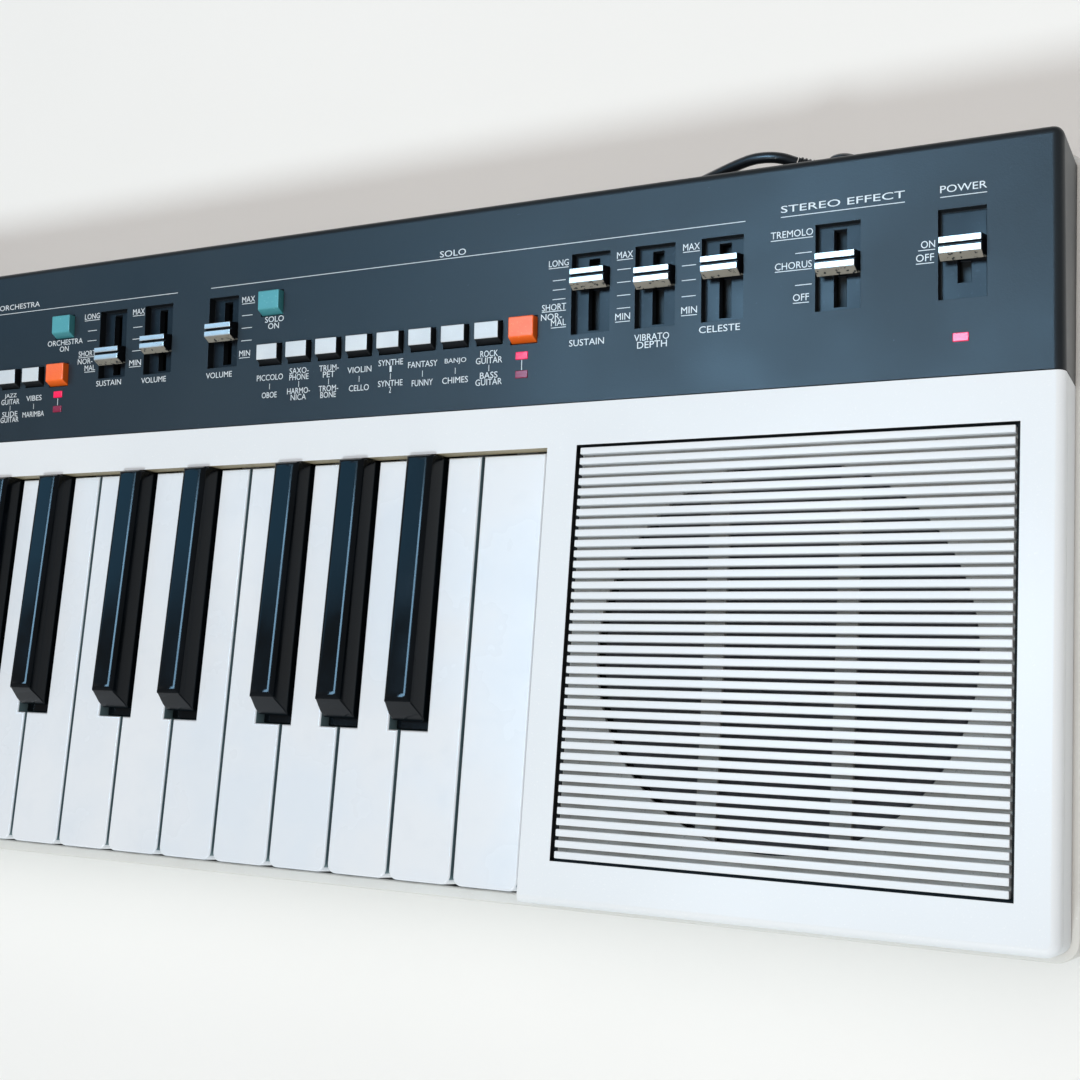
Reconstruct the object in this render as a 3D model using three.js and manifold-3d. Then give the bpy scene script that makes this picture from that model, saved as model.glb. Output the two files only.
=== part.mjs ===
// A portable synthesizer keyboard with 49 full-width keys: a white top cover over a pale lower case, a
// black sloping control panel behind the keys, a loudspeaker behind a slotted grille at each end, and a
// low-voltage supply lead. Millimetres, +X to the player's right, +Y away from the player, +Z up. The
// origin is on the surface that the feet stand on, below the middle of the instrument without its lead.

import * as THREE from "three";
import { mergeVertices } from "three/addons/utils/BufferGeometryUtils.js";
import Module from "manifold-3d";

const wasm = await Module();
wasm.setup();

// ---- Driving dimensions ----

const SEAM_GAP = 0.3; // between two pieces that touch on the real instrument

// Keyboard
const KEY_PITCH = 23.5;
const WHITE_KEYS = 29; // C to C, four octaves
const JOINED_WHITE_KEYS = 19; // from the left, made as one comb
const KEY_GAP = 1; // between two white keys
const KEY_LENGTH = 134; // the part of a white key that shows
const KEY_CORNER_RADIUS = 3;
const WHITE_DEPTH = 16;
const KEY_WALL = 1.6;
const KEY_DIP_DEG = 3.2;
const BLACK_FRONT = 49.5; // from the white keys' fronts to the foot of a black key's front
const BLACK_FRONT_LEAN = 7.5;
const BLACK_WIDTH = 12.3;
const BLACK_TOP_WIDTH = 9.2;
const BLACK_RISE_FRONT = 8.5; // above the white keys
const BLACK_RISE_REAR = 7.2;
const BLACK_SIDE_FOOT = 2.4; // height of the upright foot of its sides
const BLACK_DEPTH = 12; // below the white keys' tops
const BLACK_CLEARANCE = 1.1; // to the white keys at each side
const BLACK_FRONT_CLEARANCE = 3;
const SHARP_SHIFT = 3.3; // of an outer black key, away from the middle of its group
const PIVOT_SETBACK = 168; // from the white keys' fronts to the line they hinge on
const ARM_WIDTH = 8;
const ARM_TOP_DROP = 8; // below the white keys' tops
const ARM_HEIGHT = 7;
const ARM_TAIL = 2; // of an arm behind the hinge line
const COMB_RAIL = 4;

// Cover and case
const END_WIDTH = 155.3; // from the last key to the cover's side
const KEY_SIDE_GAP = 1.9; // from the last key to the cover's opening
const COVER_FRONT_OVERHANG = 2.5; // of the cover past the key fronts
const COVER_STEP = 4.2; // of the cover above the white keys
const COVER_HEIGHT = 18;
const COVER_WALL = 2.6;
const COVER_LIP = 2.2; // wall around the keyboard opening
const COVER_EDGE_RADIUS = 2.6;
const COVER_CORNER_RADIUS = 4;
const KEY_REAR_GAP = 1.3; // from the white keys' rear ends to the cover's lip
const LIP_DEPTH = 4.8;
const RIM_FLARE = 2.2; // of the case past the cover
const CASE_CORNER_RADIUS = 6.2;
const CASE_WALL = 3.5;
const CASE_FLOOR = 3;
const CASE_HEIGHT = 42;
const CASE_EDGE_RADIUS = 3;
const FOOT_HEIGHT = 4;
const FOOT_RADIUS = 9;
const FOOT_INSET_X = 60;
const FOOT_INSET_Y = 34;

// Control panel
const PANEL_SETBACK = 149.5; // from the key fronts to the panel's front edge
const HOUSING_REAR = 216; // from the key fronts to the housing's rear wall
const PANEL_ANGLE = THREE.MathUtils.degToRad(6);
const PANEL_WALL = 2.6;
const PANEL_EDGE_RADIUS = 3;

// Slide controls, measured along the panel's slope from its front edge
const SLOT_WIDTH = 13.2;
const SLOT_LENGTH = 25.4;
const SLOT_MIDDLE = 33.9;
const SLOT_DEPTH = 3;
const SLOT_FLOOR = 2.2;
const SLOT_BORDER = 2;
const GUIDE_WIDTH = 3.6;
const SLIDER_TRAVEL = 18.7;
const SLIDER_CLEARANCE = 0.4;
const CAP_WIDTH = 12.2;
const CAP_TOP_WIDTH = 11.6;
const CAP_LENGTH = 6;
const CAP_TOP_LENGTH = 4.4;
const CAP_RISE = 3.5; // above the panel
const CAP_GROOVE = 0.8;
const STEM_LENGTH = 3;
const STEM_FOOT = 1.2;
const SWITCH_TRAVEL = 3.7;
const SWITCH_GUIDE_LENGTH = 11.4;

// Push buttons
const BUTTON_PITCH = 12.55;
const BUTTON_WIDTH = 9;
const BUTTON_LENGTH = 7;
const SELECT_LENGTH = 8.2;
const BUTTON_RISE = 2.5;
const BUTTON_LEAN = 1.6;
const BUTTON_DEPTH = 5.2; // of a cap's foot below the panel's face
const BUTTON_TRAVEL = 2;
const BUTTON_CLEARANCE = 0.35;
const BUTTON_FLANGE = 1;
const FLANGE_THICKNESS = 1.2;
const FLANGE_DROP = 0.6; // from the panel's inner face to the flange
const VOICE_LINE = 24.1; // along the slope
const ON_LINE = 42.3;
const BANK_STRIP = [13, 17]; // the strip that joins the left-hand buttons, along the slope
const SOLO_X = -8; // rightmost button of each group, from the last key's right side
const ORCHESTRA_X = -209;
const RHYTHM_X = -430;
const CHORD_X = -560;

// Loudspeakers
const WINDOW_INSET = 12.1; // from the last key to the grille's window
const WINDOW_WIDTH = 131.9;
const WINDOW_FRONT = 10.3; // from the key fronts
const WINDOW_LENGTH = 125.4;
const BAR_COUNT = 39;
const BAR_PITCH = 3.2;
const BAR_WIDTH = 1.95;
const BAR_END_GAP = 1.2;
const BAR_DROP = 0.2; // of the bars below the cover's face
const GRILLE_PLATE = 1.5;
const GRILLE_FLANGE = 3;
const GRILLE_OPEN_RADIUS = 56;
const GRILLE_RIB_WIDTH = 6.3;
const GRILLE_RIB_OFFSET = 19.5;
const GRILLE_RIB_DEPTH = 1.5;
const DRIVER_RADIUS = 59;
const DRIVER_DEPTH = 42;

// Inside
const FRAME_PLATE = 2;
const FRAME_PLATE_DROP = 29; // below the white keys' tops
const BOARD_DROP = 7.6; // below the panel's face
const BOARD_THICKNESS = 1.6;
const BOARD_FRONT = 8;
const BOARD_REAR = 58;
const BOARD_END_GAP = 22;
const CHIP_PLACES = [-330, -180, -30, 120, 270, 400];
const CHIP_HALF_LENGTH = 18;
const CHIP_ROW = [36, 50];
const CHIP_HEIGHT = 3.4;
const CHIP_ROOT = 0.4; // of a chip inside the board
const SHELF_WIDTH = 4; // of the shelf that the keys' arms turn on
const WALL_GAP = 1.5; // from the white comb's rail to the frame's rear wall
const WALL_RISE = 2.2; // of that wall above the arms
const PLATE_INSET = 6; // from the key fronts to the frame's plate
const RAIL_INSET = 24; // and to its front rail
const LEDGE_ROOT = 1; // of the battery door's ledge inside the case's floor
const LEDGE_THICKNESS = 2;
const DOOR = { x: -240, y: 0, length: 180, width: 80, gap: 0.4, ledge: 5 };

// Supply socket and lead
const JACK_X_FROM_KEYS = 90; // from the last key's outer side
const JACK_DROP = 6.4; // below the white keys' tops
const JACK_RADIUS = 5.5;
const JACK_BORE = 3.2;
const JACK_LENGTH = 11;
const JACK_FLANGE = 1.5;
const CORD_DIAMETER = 3.4;
const COIL_INNER = 12.2;
const COIL_OUTER = 26.3;
const COIL_HEIGHT = 14;

// ---- Worked out from them ----

const KEYS_RIGHT = (WHITE_KEYS * KEY_PITCH) / 2;
const KEYS_LEFT = -KEYS_RIGHT;
const COVER_HALF = KEYS_RIGHT + END_WIDTH;
const CASE_HALF = COVER_HALF + RIM_FLARE;
const COVER_FRONT = -(COVER_FRONT_OVERHANG + HOUSING_REAR) / 2;
const KEY_FRONT = COVER_FRONT + COVER_FRONT_OVERHANG;
const REAR = KEY_FRONT + HOUSING_REAR;
const KEY_REAR = KEY_FRONT + KEY_LENGTH;
const PANEL_FRONT = KEY_FRONT + PANEL_SETBACK;
const PIVOT_Y = KEY_FRONT + PIVOT_SETBACK;
const OPENING_REAR = KEY_REAR + KEY_REAR_GAP;
const OPENING_HALF = KEYS_RIGHT + KEY_SIDE_GAP;
const CASE_TOP = FOOT_HEIGHT + CASE_HEIGHT;
const COVER_BOTTOM = CASE_TOP + SEAM_GAP;
const COVER_TOP = CASE_TOP + COVER_HEIGHT;
const KEY_TOP = COVER_TOP - COVER_STEP;
const ARM_TOP = KEY_TOP - ARM_TOP_DROP;
const ARM_BOTTOM = ARM_TOP - ARM_HEIGHT;
const PIVOT_Z = (ARM_TOP + ARM_BOTTOM) / 2;
const NOTCH_WIDTH = BLACK_WIDTH + 2 * BLACK_CLEARANCE;
const NOTCH_FRONT = KEY_FRONT + BLACK_FRONT - BLACK_FRONT_CLEARANCE;
const CASE_INNER_HALF = CASE_HALF - CASE_WALL;
const FLOOR_TOP = FOOT_HEIGHT + CASE_FLOOR;
const FAR = 60; // how far a cutting solid runs past what it cuts

// ---- Solids ----

// A closed three.js geometry as a manifold-3d solid.
function solid(geometry) {
  const bare = geometry.clone();
  bare.deleteAttribute("normal");
  bare.deleteAttribute("uv");
  const merged = mergeVertices(bare, 1e-4);
  return new wasm.Manifold(
    new wasm.Mesh({
      numProp: 3,
      vertProperties: merged.attributes.position.array,
      triVerts: new Uint32Array(merged.index.array),
    }),
  );
}

// A solid back as a geometry with flat faces.
function geometryOf(made) {
  const mesh = made.getMesh();
  const geometry = new THREE.BufferGeometry();
  geometry.setAttribute("position", new THREE.BufferAttribute(mesh.vertProperties, 3));
  geometry.setIndex(new THREE.BufferAttribute(mesh.triVerts, 1));
  const flat = geometry.toNonIndexed();
  flat.computeVertexNormals();
  return flat;
}

function box([x0, x1], [y0, y1], [z0, z1]) {
  const geometry = new THREE.BoxGeometry(x1 - x0, y1 - y0, z1 - z0);
  return solid(geometry.translate((x0 + x1) / 2, (y0 + y1) / 2, (z0 + z1) / 2));
}

function union(solids) {
  return solids.reduce((all, one) => all.add(one));
}

const ACROSS = new THREE.Matrix4().makeBasis(
  new THREE.Vector3(0, 1, 0),
  new THREE.Vector3(0, 0, 1),
  new THREE.Vector3(1, 0, 0),
);
const BACKWARD = new THREE.Matrix4().makeBasis(
  new THREE.Vector3(1, 0, 0),
  new THREE.Vector3(0, 0, 1),
  new THREE.Vector3(0, -1, 0),
);

function polygon(points) {
  return new THREE.Shape(points.map(([a, b]) => new THREE.Vector2(a, b)));
}

// An outline in X and Y, drawn up from z0 to z1.
function prism(shape, z0, z1, curveSegments = 2) {
  const options = { depth: z1 - z0, bevelEnabled: false, curveSegments };
  return solid(new THREE.ExtrudeGeometry(shape, options).translate(0, 0, z0));
}

// A profile in Y and Z, drawn along X.
function beam(points, x0, x1) {
  const options = { depth: x1 - x0, bevelEnabled: false };
  const geometry = new THREE.ExtrudeGeometry(polygon(points), options).translate(0, 0, x0);
  return solid(geometry.applyMatrix4(ACROSS));
}

// A profile in X and Z, drawn along Y.
function log(points, y0, y1) {
  const options = { depth: y1 - y0, bevelEnabled: false };
  const geometry = new THREE.ExtrudeGeometry(polygon(points), options).translate(0, 0, -y1);
  return solid(geometry.applyMatrix4(BACKWARD));
}

function roundedRectangle(x0, x1, y0, y1, r) {
  const shape = new THREE.Shape();
  shape.moveTo(x0 + r, y0);
  shape.lineTo(x1 - r, y0);
  shape.absarc(x1 - r, y0 + r, r, -Math.PI / 2, 0);
  shape.lineTo(x1, y1 - r);
  shape.absarc(x1 - r, y1 - r, r, 0, Math.PI / 2);
  shape.lineTo(x0 + r, y1);
  shape.absarc(x0 + r, y1 - r, r, Math.PI / 2, Math.PI);
  shape.lineTo(x0, y0 + r);
  shape.absarc(x0 + r, y0 + r, r, Math.PI, 1.5 * Math.PI);
  return shape;
}

// A block with rounded upright edges, and with its top and bottom edges rounded by edge.
function softBlock([x0, x1], [y0, y1], [z0, z1], corner, edge, bevelSegments = 2) {
  const shape = roundedRectangle(x0, x1, y0, y1, corner);
  const options = {
    depth: z1 - z0 - 2 * edge,
    bevelEnabled: true,
    bevelThickness: edge,
    bevelSize: edge,
    bevelOffset: -edge,
    bevelSegments,
    curveSegments: 3,
  };
  return solid(new THREE.ExtrudeGeometry(shape, options).translate(0, 0, z0 + edge));
}

function turned(profile, segments) {
  const points = profile.map(([r, z]) => new THREE.Vector2(r, z));
  return new THREE.LatheGeometry(points, segments).rotateX(Math.PI / 2);
}

// ---- Materials ----

function finish(color, roughness, metalness = 0) {
  return new THREE.MeshStandardMaterial({ color, roughness, metalness });
}

const WHITE_PLASTIC = finish(0xf0f1f1, 0.45);
const CASE_PLASTIC = finish(0xdedbd2, 0.55);
const BLACK_PLASTIC = finish(0x2b3036, 0.42);
const WHITE_KEY = finish(0xf2f5f8, 0.22);
const BLACK_KEY = finish(0x0c1016, 0.12);
const LIGHT_BUTTON = finish(0xd7dee1, 0.4);
const ORANGE_BUTTON = finish(0xff6419, 0.4);
const TEAL_BUTTON = finish(0x5fa5aa, 0.45);
const SLIDER_PLASTIC = finish(0xd0d2d2, 0.35, 0.5);
const STEEL = finish(0x9a9ea2, 0.4, 0.9);
const BOARD = finish(0x6b5a2c, 0.6);
const RUBBER = finish(0x16171a, 0.6);

const instrument = new THREE.Group();

function add(name, geometry, material, parent = instrument) {
  const mesh = new THREE.Mesh(geometry, material.clone());
  mesh.name = name;
  parent.add(mesh);
  return mesh;
}

// ---- The panel's own frame: X across, Y up the slope from its front edge, Z out of its face ----

const panel = new THREE.Group();
panel.position.set(0, PANEL_FRONT, COVER_TOP);
panel.rotation.x = PANEL_ANGLE;
panel.updateMatrix();
instrument.add(panel);

const MM_PER_SLOPE = 1 / Math.cos(PANEL_ANGLE);

function onPanel(made) {
  return made.transform(panel.matrix.elements);
}

// Slide controls: where each stands across the panel, from the last key's right side, and its rest place.
const SLIDERS = [
  { name: "orchestra_sustain_slider", x: -182.3, rest: 29.9 },
  { name: "orchestra_volume_slider", x: -160.2, rest: 32.5 },
  { name: "solo_volume_slider", x: -129.9, rest: 34.3 },
  { name: "solo_sustain_slider", x: 15.2, rest: 38.9 },
  { name: "vibrato_depth_slider", x: 36.9, rest: 37 },
  { name: "celeste_slider", x: 58.6, rest: 38 },
  { name: "stereo_effect_slider", x: 93.6, rest: 35.1 },
  { name: "tempo_slider", x: -352, rest: 33.9 },
  { name: "rhythm_volume_slider", x: -374, rest: 36 },
  { name: "bass_volume_slider", x: -396, rest: 31.5 },
];
const POWER_SWITCH = { name: "power_switch", x: 128.6, rest: 35.8 };

// Push buttons on their own caps.
const BUTTONS = [
  ...Array.from({ length: 8 }, (_, i) => ({
    name: `solo_voice_button_${i + 1}`,
    x: SOLO_X - (8 - i) * BUTTON_PITCH,
    y: VOICE_LINE,
    length: BUTTON_LENGTH,
    material: LIGHT_BUTTON,
  })),
  { name: "solo_variation_button", x: SOLO_X, y: VOICE_LINE, length: SELECT_LENGTH, material: ORANGE_BUTTON },
  { name: "solo_on_button", x: -108.4, y: ON_LINE, length: SELECT_LENGTH, material: TEAL_BUTTON },
  ...Array.from({ length: 2 }, (_, i) => ({
    name: `orchestra_voice_button_${i + 7}`,
    x: ORCHESTRA_X - (2 - i) * BUTTON_PITCH,
    y: VOICE_LINE,
    length: BUTTON_LENGTH,
    material: LIGHT_BUTTON,
  })),
  {
    name: "orchestra_variation_button",
    x: ORCHESTRA_X,
    y: VOICE_LINE,
    length: SELECT_LENGTH,
    material: ORANGE_BUTTON,
  },
  { name: "orchestra_on_button", x: -206.8, y: ON_LINE, length: SELECT_LENGTH, material: TEAL_BUTTON },
];

// Left-hand buttons on one strip: six orchestra voices, eight rhythms and four chord modes.
const BANK = [
  ...Array.from({ length: 6 }, (_, i) => ORCHESTRA_X - (i + 3) * BUTTON_PITCH),
  ...Array.from({ length: 8 }, (_, i) => RHYTHM_X - i * BUTTON_PITCH),
  ...Array.from({ length: 4 }, (_, i) => CHORD_X - i * BUTTON_PITCH),
].map((x) => ({ x, y: VOICE_LINE, length: BUTTON_LENGTH }));

// ---- Lower case ----

const CASE_X = [-CASE_HALF, CASE_HALF];
const CASE_Y = [COVER_FRONT - RIM_FLARE, REAR + RIM_FLARE];
const CASE_INNER_Y = [CASE_Y[0] + CASE_WALL, CASE_Y[1] - CASE_WALL];

function bottomCase() {
  const blockZ = [FOOT_HEIGHT, CASE_TOP + FAR];
  const block = softBlock(CASE_X, CASE_Y, blockZ, CASE_CORNER_RADIUS, CASE_EDGE_RADIUS);
  const innerRadius = CASE_CORNER_RADIUS - CASE_WALL;
  const inner = roundedRectangle(-CASE_INNER_HALF, CASE_INNER_HALF, ...CASE_INNER_Y, innerRadius);
  const above = box(
    [-CASE_HALF - FAR, CASE_HALF + FAR],
    [CASE_Y[0] - FAR, CASE_Y[1] + FAR],
    [CASE_TOP, CASE_TOP + 2 * FAR],
  );
  const door = {
    x: [DOOR.x - DOOR.length / 2, DOOR.x + DOOR.length / 2],
    y: [DOOR.y - DOOR.width / 2, DOOR.y + DOOR.width / 2],
  };
  const ledge = box(
    [door.x[0] - DOOR.ledge, door.x[1] + DOOR.ledge],
    [door.y[0] - DOOR.ledge, door.y[1] + DOOR.ledge],
    [FLOOR_TOP - LEDGE_ROOT, FLOOR_TOP + SEAM_GAP + LEDGE_THICKNESS],
  );
  const shell = block
    .subtract(above)
    .subtract(prism(inner, FLOOR_TOP, CASE_TOP + FAR))
    .add(ledge)
    .subtract(box(door.x, door.y, [0, FLOOR_TOP + SEAM_GAP]))
    .subtract(
      box(
        [door.x[0] + DOOR.ledge, door.x[1] - DOOR.ledge],
        [door.y[0] + DOOR.ledge, door.y[1] - DOOR.ledge],
        [0, FAR],
      ),
    );
  const feet = [-1, 1].flatMap((sideX) =>
    [-1, 1].map((sideY) => {
      const pad = new THREE.CylinderGeometry(FOOT_RADIUS, FOOT_RADIUS, FOOT_HEIGHT + CASE_FLOOR, 16);
      pad.rotateX(Math.PI / 2);
      pad.translate(
        sideX * (CASE_HALF - FOOT_INSET_X),
        sideY * (CASE_Y[1] - FOOT_INSET_Y),
        (FOOT_HEIGHT + CASE_FLOOR) / 2,
      );
      return solid(pad);
    }),
  );
  return union([shell, ...feet]);
}
add("bottom_case", geometryOf(bottomCase()), CASE_PLASTIC);

const doorPlate = new THREE.BoxGeometry(DOOR.length - 2 * DOOR.gap, DOOR.width - 2 * DOOR.gap, CASE_FLOOR);
add("battery_door", doorPlate, CASE_PLASTIC).position.set(DOOR.x, DOOR.y, FOOT_HEIGHT + CASE_FLOOR / 2);

// ---- Top cover ----

const WINDOW_Y = [KEY_FRONT + WINDOW_FRONT, KEY_FRONT + WINDOW_FRONT + WINDOW_LENGTH];
const windowX = (side) => {
  const x = [KEYS_RIGHT + WINDOW_INSET, KEYS_RIGHT + WINDOW_INSET + WINDOW_WIDTH];
  return side > 0 ? x : [-x[1], -x[0]];
};

function topCover() {
  const rear = PANEL_FRONT - SEAM_GAP;
  const block = softBlock(
    [-COVER_HALF, COVER_HALF],
    [COVER_FRONT, rear + FAR],
    [COVER_BOTTOM - FAR, COVER_TOP],
    COVER_CORNER_RADIUS,
    COVER_EDGE_RADIUS,
  );
  const ceiling = COVER_TOP - COVER_WALL;
  const wide = [-COVER_HALF - FAR, COVER_HALF + FAR];
  const wallX = OPENING_HALF + COVER_LIP;
  const openingX = [-OPENING_HALF, OPENING_HALF];
  const cuts = [
    box(wide, [COVER_FRONT - FAR, rear + 2 * FAR], [COVER_BOTTOM - 2 * FAR, COVER_BOTTOM]),
    box(wide, [rear, rear + 2 * FAR], [COVER_BOTTOM - 2 * FAR, COVER_TOP + FAR]),
    box(openingX, [COVER_FRONT - FAR, OPENING_REAR], [COVER_BOTTOM - FAR, COVER_TOP + FAR]),
    box(openingX, [OPENING_REAR - 1, rear + FAR], [COVER_BOTTOM - FAR, COVER_TOP - LIP_DEPTH]),
    box([-wallX - 1, wallX + 1], [OPENING_REAR + COVER_LIP, rear + FAR], [COVER_BOTTOM - FAR, ceiling]),
  ];
  for (const side of [-1, 1]) {
    const ends = [side * wallX, side * (COVER_HALF - COVER_WALL)].sort((a, b) => a - b);
    cuts.push(box(ends, [COVER_FRONT + COVER_WALL, rear + FAR], [COVER_BOTTOM - FAR, ceiling]));
    cuts.push(box(windowX(side), WINDOW_Y, [ceiling - FAR, COVER_TOP + FAR]));
  }
  return block.subtract(union(cuts));
}
add("top_cover", geometryOf(topCover()), WHITE_PLASTIC);

// ---- Control panel housing ----

const HOUSING_BOTTOM = COVER_BOTTOM;
const slopeZ = (y) => COVER_TOP + (y - PANEL_FRONT) * Math.tan(PANEL_ANGLE);

function housingProfile(front, rear, bottom, drop) {
  return [
    [front, bottom],
    [rear, bottom],
    [rear, slopeZ(rear) - drop],
    [front, slopeZ(front) - drop],
  ];
}

function housingBlock() {
  const points = housingProfile(PANEL_FRONT - FAR, REAR, HOUSING_BOTTOM - FAR, 0);
  const options = {
    depth: 2 * (COVER_HALF - PANEL_EDGE_RADIUS),
    bevelEnabled: true,
    bevelThickness: PANEL_EDGE_RADIUS,
    bevelSize: PANEL_EDGE_RADIUS,
    bevelOffset: -PANEL_EDGE_RADIUS,
    bevelSegments: 3,
  };
  const geometry = new THREE.ExtrudeGeometry(polygon(points), options);
  geometry.translate(0, 0, -COVER_HALF + PANEL_EDGE_RADIUS);
  const keep = box(
    [-COVER_HALF - FAR, COVER_HALF + FAR],
    [PANEL_FRONT, REAR + FAR],
    [HOUSING_BOTTOM, COVER_TOP + FAR],
  );
  return solid(geometry.applyMatrix4(ACROSS)).intersect(keep);
}

function recessBlock(x) {
  return box(
    [x - SLOT_WIDTH / 2 - SLOT_BORDER, x + SLOT_WIDTH / 2 + SLOT_BORDER],
    [SLOT_MIDDLE - SLOT_LENGTH / 2 - SLOT_BORDER, SLOT_MIDDLE + SLOT_LENGTH / 2 + SLOT_BORDER],
    [-SLOT_DEPTH - SLOT_FLOOR, -PANEL_WALL / 2],
  );
}

function recessCut(x, guide) {
  const pocket = box(
    [x - SLOT_WIDTH / 2, x + SLOT_WIDTH / 2],
    [SLOT_MIDDLE - SLOT_LENGTH / 2, SLOT_MIDDLE + SLOT_LENGTH / 2],
    [-SLOT_DEPTH, FAR],
  );
  return pocket.add(box([x - GUIDE_WIDTH / 2, x + GUIDE_WIDTH / 2], guide, [-FAR, 0]));
}

const SLIDER_GUIDE_HALF = SLIDER_TRAVEL / 2 + STEM_LENGTH / 2 + SLIDER_CLEARANCE;
const SLIDER_GUIDE = [SLOT_MIDDLE - SLIDER_GUIDE_HALF, SLOT_MIDDLE + SLIDER_GUIDE_HALF];
const SWITCH_GUIDE_REAR = POWER_SWITCH.rest + STEM_LENGTH / 2 + SLIDER_CLEARANCE;
const SWITCH_GUIDE = [SWITCH_GUIDE_REAR - SWITCH_GUIDE_LENGTH, SWITCH_GUIDE_REAR];

function buttonHole({ x, y, length }) {
  const halfX = BUTTON_WIDTH / 2 + BUTTON_CLEARANCE;
  const halfY = length / 2 + BUTTON_CLEARANCE;
  return box([KEYS_RIGHT + x - halfX, KEYS_RIGHT + x + halfX], [y - halfY, y + halfY], [-FAR / 4, FAR]);
}

const JACK_X = KEYS_RIGHT + JACK_X_FROM_KEYS;
const JACK_Z = KEY_TOP - JACK_DROP;

function controlPanel() {
  const hollow = beam(
    housingProfile(PANEL_FRONT - FAR, REAR - PANEL_WALL, HOUSING_BOTTOM - FAR, PANEL_WALL * MM_PER_SLOPE),
    -COVER_HALF + PANEL_WALL,
    COVER_HALF - PANEL_WALL,
  );
  const slides = SLIDERS.map(({ x }) => ({ x: KEYS_RIGHT + x, guide: SLIDER_GUIDE }));
  slides.push({ x: KEYS_RIGHT + POWER_SWITCH.x, guide: SWITCH_GUIDE });
  const blocks = union(slides.map(({ x }) => recessBlock(x)));
  const cuts = union([
    ...slides.map(({ x, guide }) => recessCut(x, guide)),
    ...BUTTONS.map(buttonHole),
    ...BANK.map(buttonHole),
  ]);
  const socket = new THREE.CylinderGeometry(JACK_RADIUS + SEAM_GAP, JACK_RADIUS + SEAM_GAP, FAR / 4, 20);
  socket.translate(JACK_X, REAR, JACK_Z);
  return housingBlock()
    .subtract(hollow)
    .add(onPanel(blocks))
    .subtract(onPanel(cuts))
    .subtract(solid(socket));
}
add("control_panel", geometryOf(controlPanel()), BLACK_PLASTIC);

// ---- Slide caps and the power switch ----

function slideCap() {
  const foot = SLIDER_CLEARANCE - SLOT_DEPTH;
  const side = beam(
    [
      [-CAP_LENGTH / 2, foot],
      [CAP_LENGTH / 2, foot],
      [CAP_TOP_LENGTH / 2, CAP_RISE],
      [CAP_GROOVE / 2, CAP_RISE],
      [0, CAP_RISE - CAP_GROOVE],
      [-CAP_GROOVE / 2, CAP_RISE],
      [-CAP_TOP_LENGTH / 2, CAP_RISE],
    ],
    -CAP_WIDTH,
    CAP_WIDTH,
  );
  const front = log(
    [
      [-CAP_WIDTH / 2, foot],
      [CAP_WIDTH / 2, foot],
      [CAP_TOP_WIDTH / 2, CAP_RISE],
      [-CAP_TOP_WIDTH / 2, CAP_RISE],
    ],
    -CAP_LENGTH,
    CAP_LENGTH,
  );
  const stemHalf = GUIDE_WIDTH / 2 - SLIDER_CLEARANCE;
  const retainer = -SLOT_DEPTH - SLOT_FLOOR - SLIDER_CLEARANCE;
  const underside = retainer - STEM_FOOT;
  const stem = box([-stemHalf, stemHalf], [-STEM_LENGTH / 2, STEM_LENGTH / 2], [underside, foot + 1]);
  const shoe = box([-GUIDE_WIDTH, GUIDE_WIDTH], [-STEM_LENGTH, STEM_LENGTH], [underside, retainer]);
  return side.intersect(front).add(stem).add(shoe);
}

for (const { name, x, rest } of [...SLIDERS, POWER_SWITCH]) {
  add(name, geometryOf(slideCap()), SLIDER_PLASTIC, panel).position.set(KEYS_RIGHT + x, rest, 0);
}

// ---- Push buttons ----

function buttonStem(length) {
  return beam(
    [
      [-length / 2, -BUTTON_DEPTH],
      [length / 2, -BUTTON_DEPTH],
      [length / 2, BUTTON_RISE],
      [-length / 2 + BUTTON_LEAN, BUTTON_RISE],
      [-length / 2, 0],
    ],
    -BUTTON_WIDTH / 2,
    BUTTON_WIDTH / 2,
  );
}

function buttonCap(length) {
  const top = -PANEL_WALL - FLANGE_DROP;
  const flangeX = BUTTON_WIDTH / 2 + BUTTON_FLANGE;
  const flangeY = length / 2 + BUTTON_FLANGE;
  const flange = box([-flangeX, flangeX], [-flangeY, flangeY], [top - FLANGE_THICKNESS, top]);
  return buttonStem(length).add(flange);
}

for (const { name, x, y, length, material } of BUTTONS) {
  add(name, geometryOf(buttonCap(length)), material, panel).position.set(KEYS_RIGHT + x, y, 0);
}

function buttonBank() {
  const top = -PANEL_WALL - FLANGE_DROP;
  const thickness = [top - FLANGE_THICKNESS, top];
  const caps = BANK.map(({ x, y, length }) => buttonStem(length).translate([KEYS_RIGHT + x, y, 0]));
  const tabs = BANK.map(({ x }) =>
    box(
      [KEYS_RIGHT + x - BUTTON_WIDTH / 2, KEYS_RIGHT + x + BUTTON_WIDTH / 2],
      [BANK_STRIP[0] + 1, VOICE_LINE],
      thickness,
    ),
  );
  const ends = BANK.map(({ x }) => KEYS_RIGHT + x);
  const stripX = [Math.min(...ends) - BUTTON_WIDTH / 2, Math.max(...ends) + BUTTON_WIDTH / 2];
  const strip = box(stripX, BANK_STRIP, thickness);
  return union([strip, ...tabs, ...caps]);
}
add("left_button_bank", geometryOf(buttonBank()), LIGHT_BUTTON, panel);

// ---- Main circuit board, along the panel's slope ----

function circuitBoard() {
  const half = COVER_HALF - BOARD_END_GAP;
  const under = -BOARD_DROP - BOARD_THICKNESS;
  const plate = box([-half, half], [BOARD_FRONT, BOARD_REAR], [under, -BOARD_DROP]);
  const chipZ = [under - CHIP_HEIGHT, under + CHIP_ROOT];
  const chips = CHIP_PLACES.map((x) => box([x - CHIP_HALF_LENGTH, x + CHIP_HALF_LENGTH], CHIP_ROW, chipZ));
  return union([plate, ...chips]);
}
add("main_circuit_board", geometryOf(circuitBoard()), BOARD, panel);

// ---- Keys ----

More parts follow.
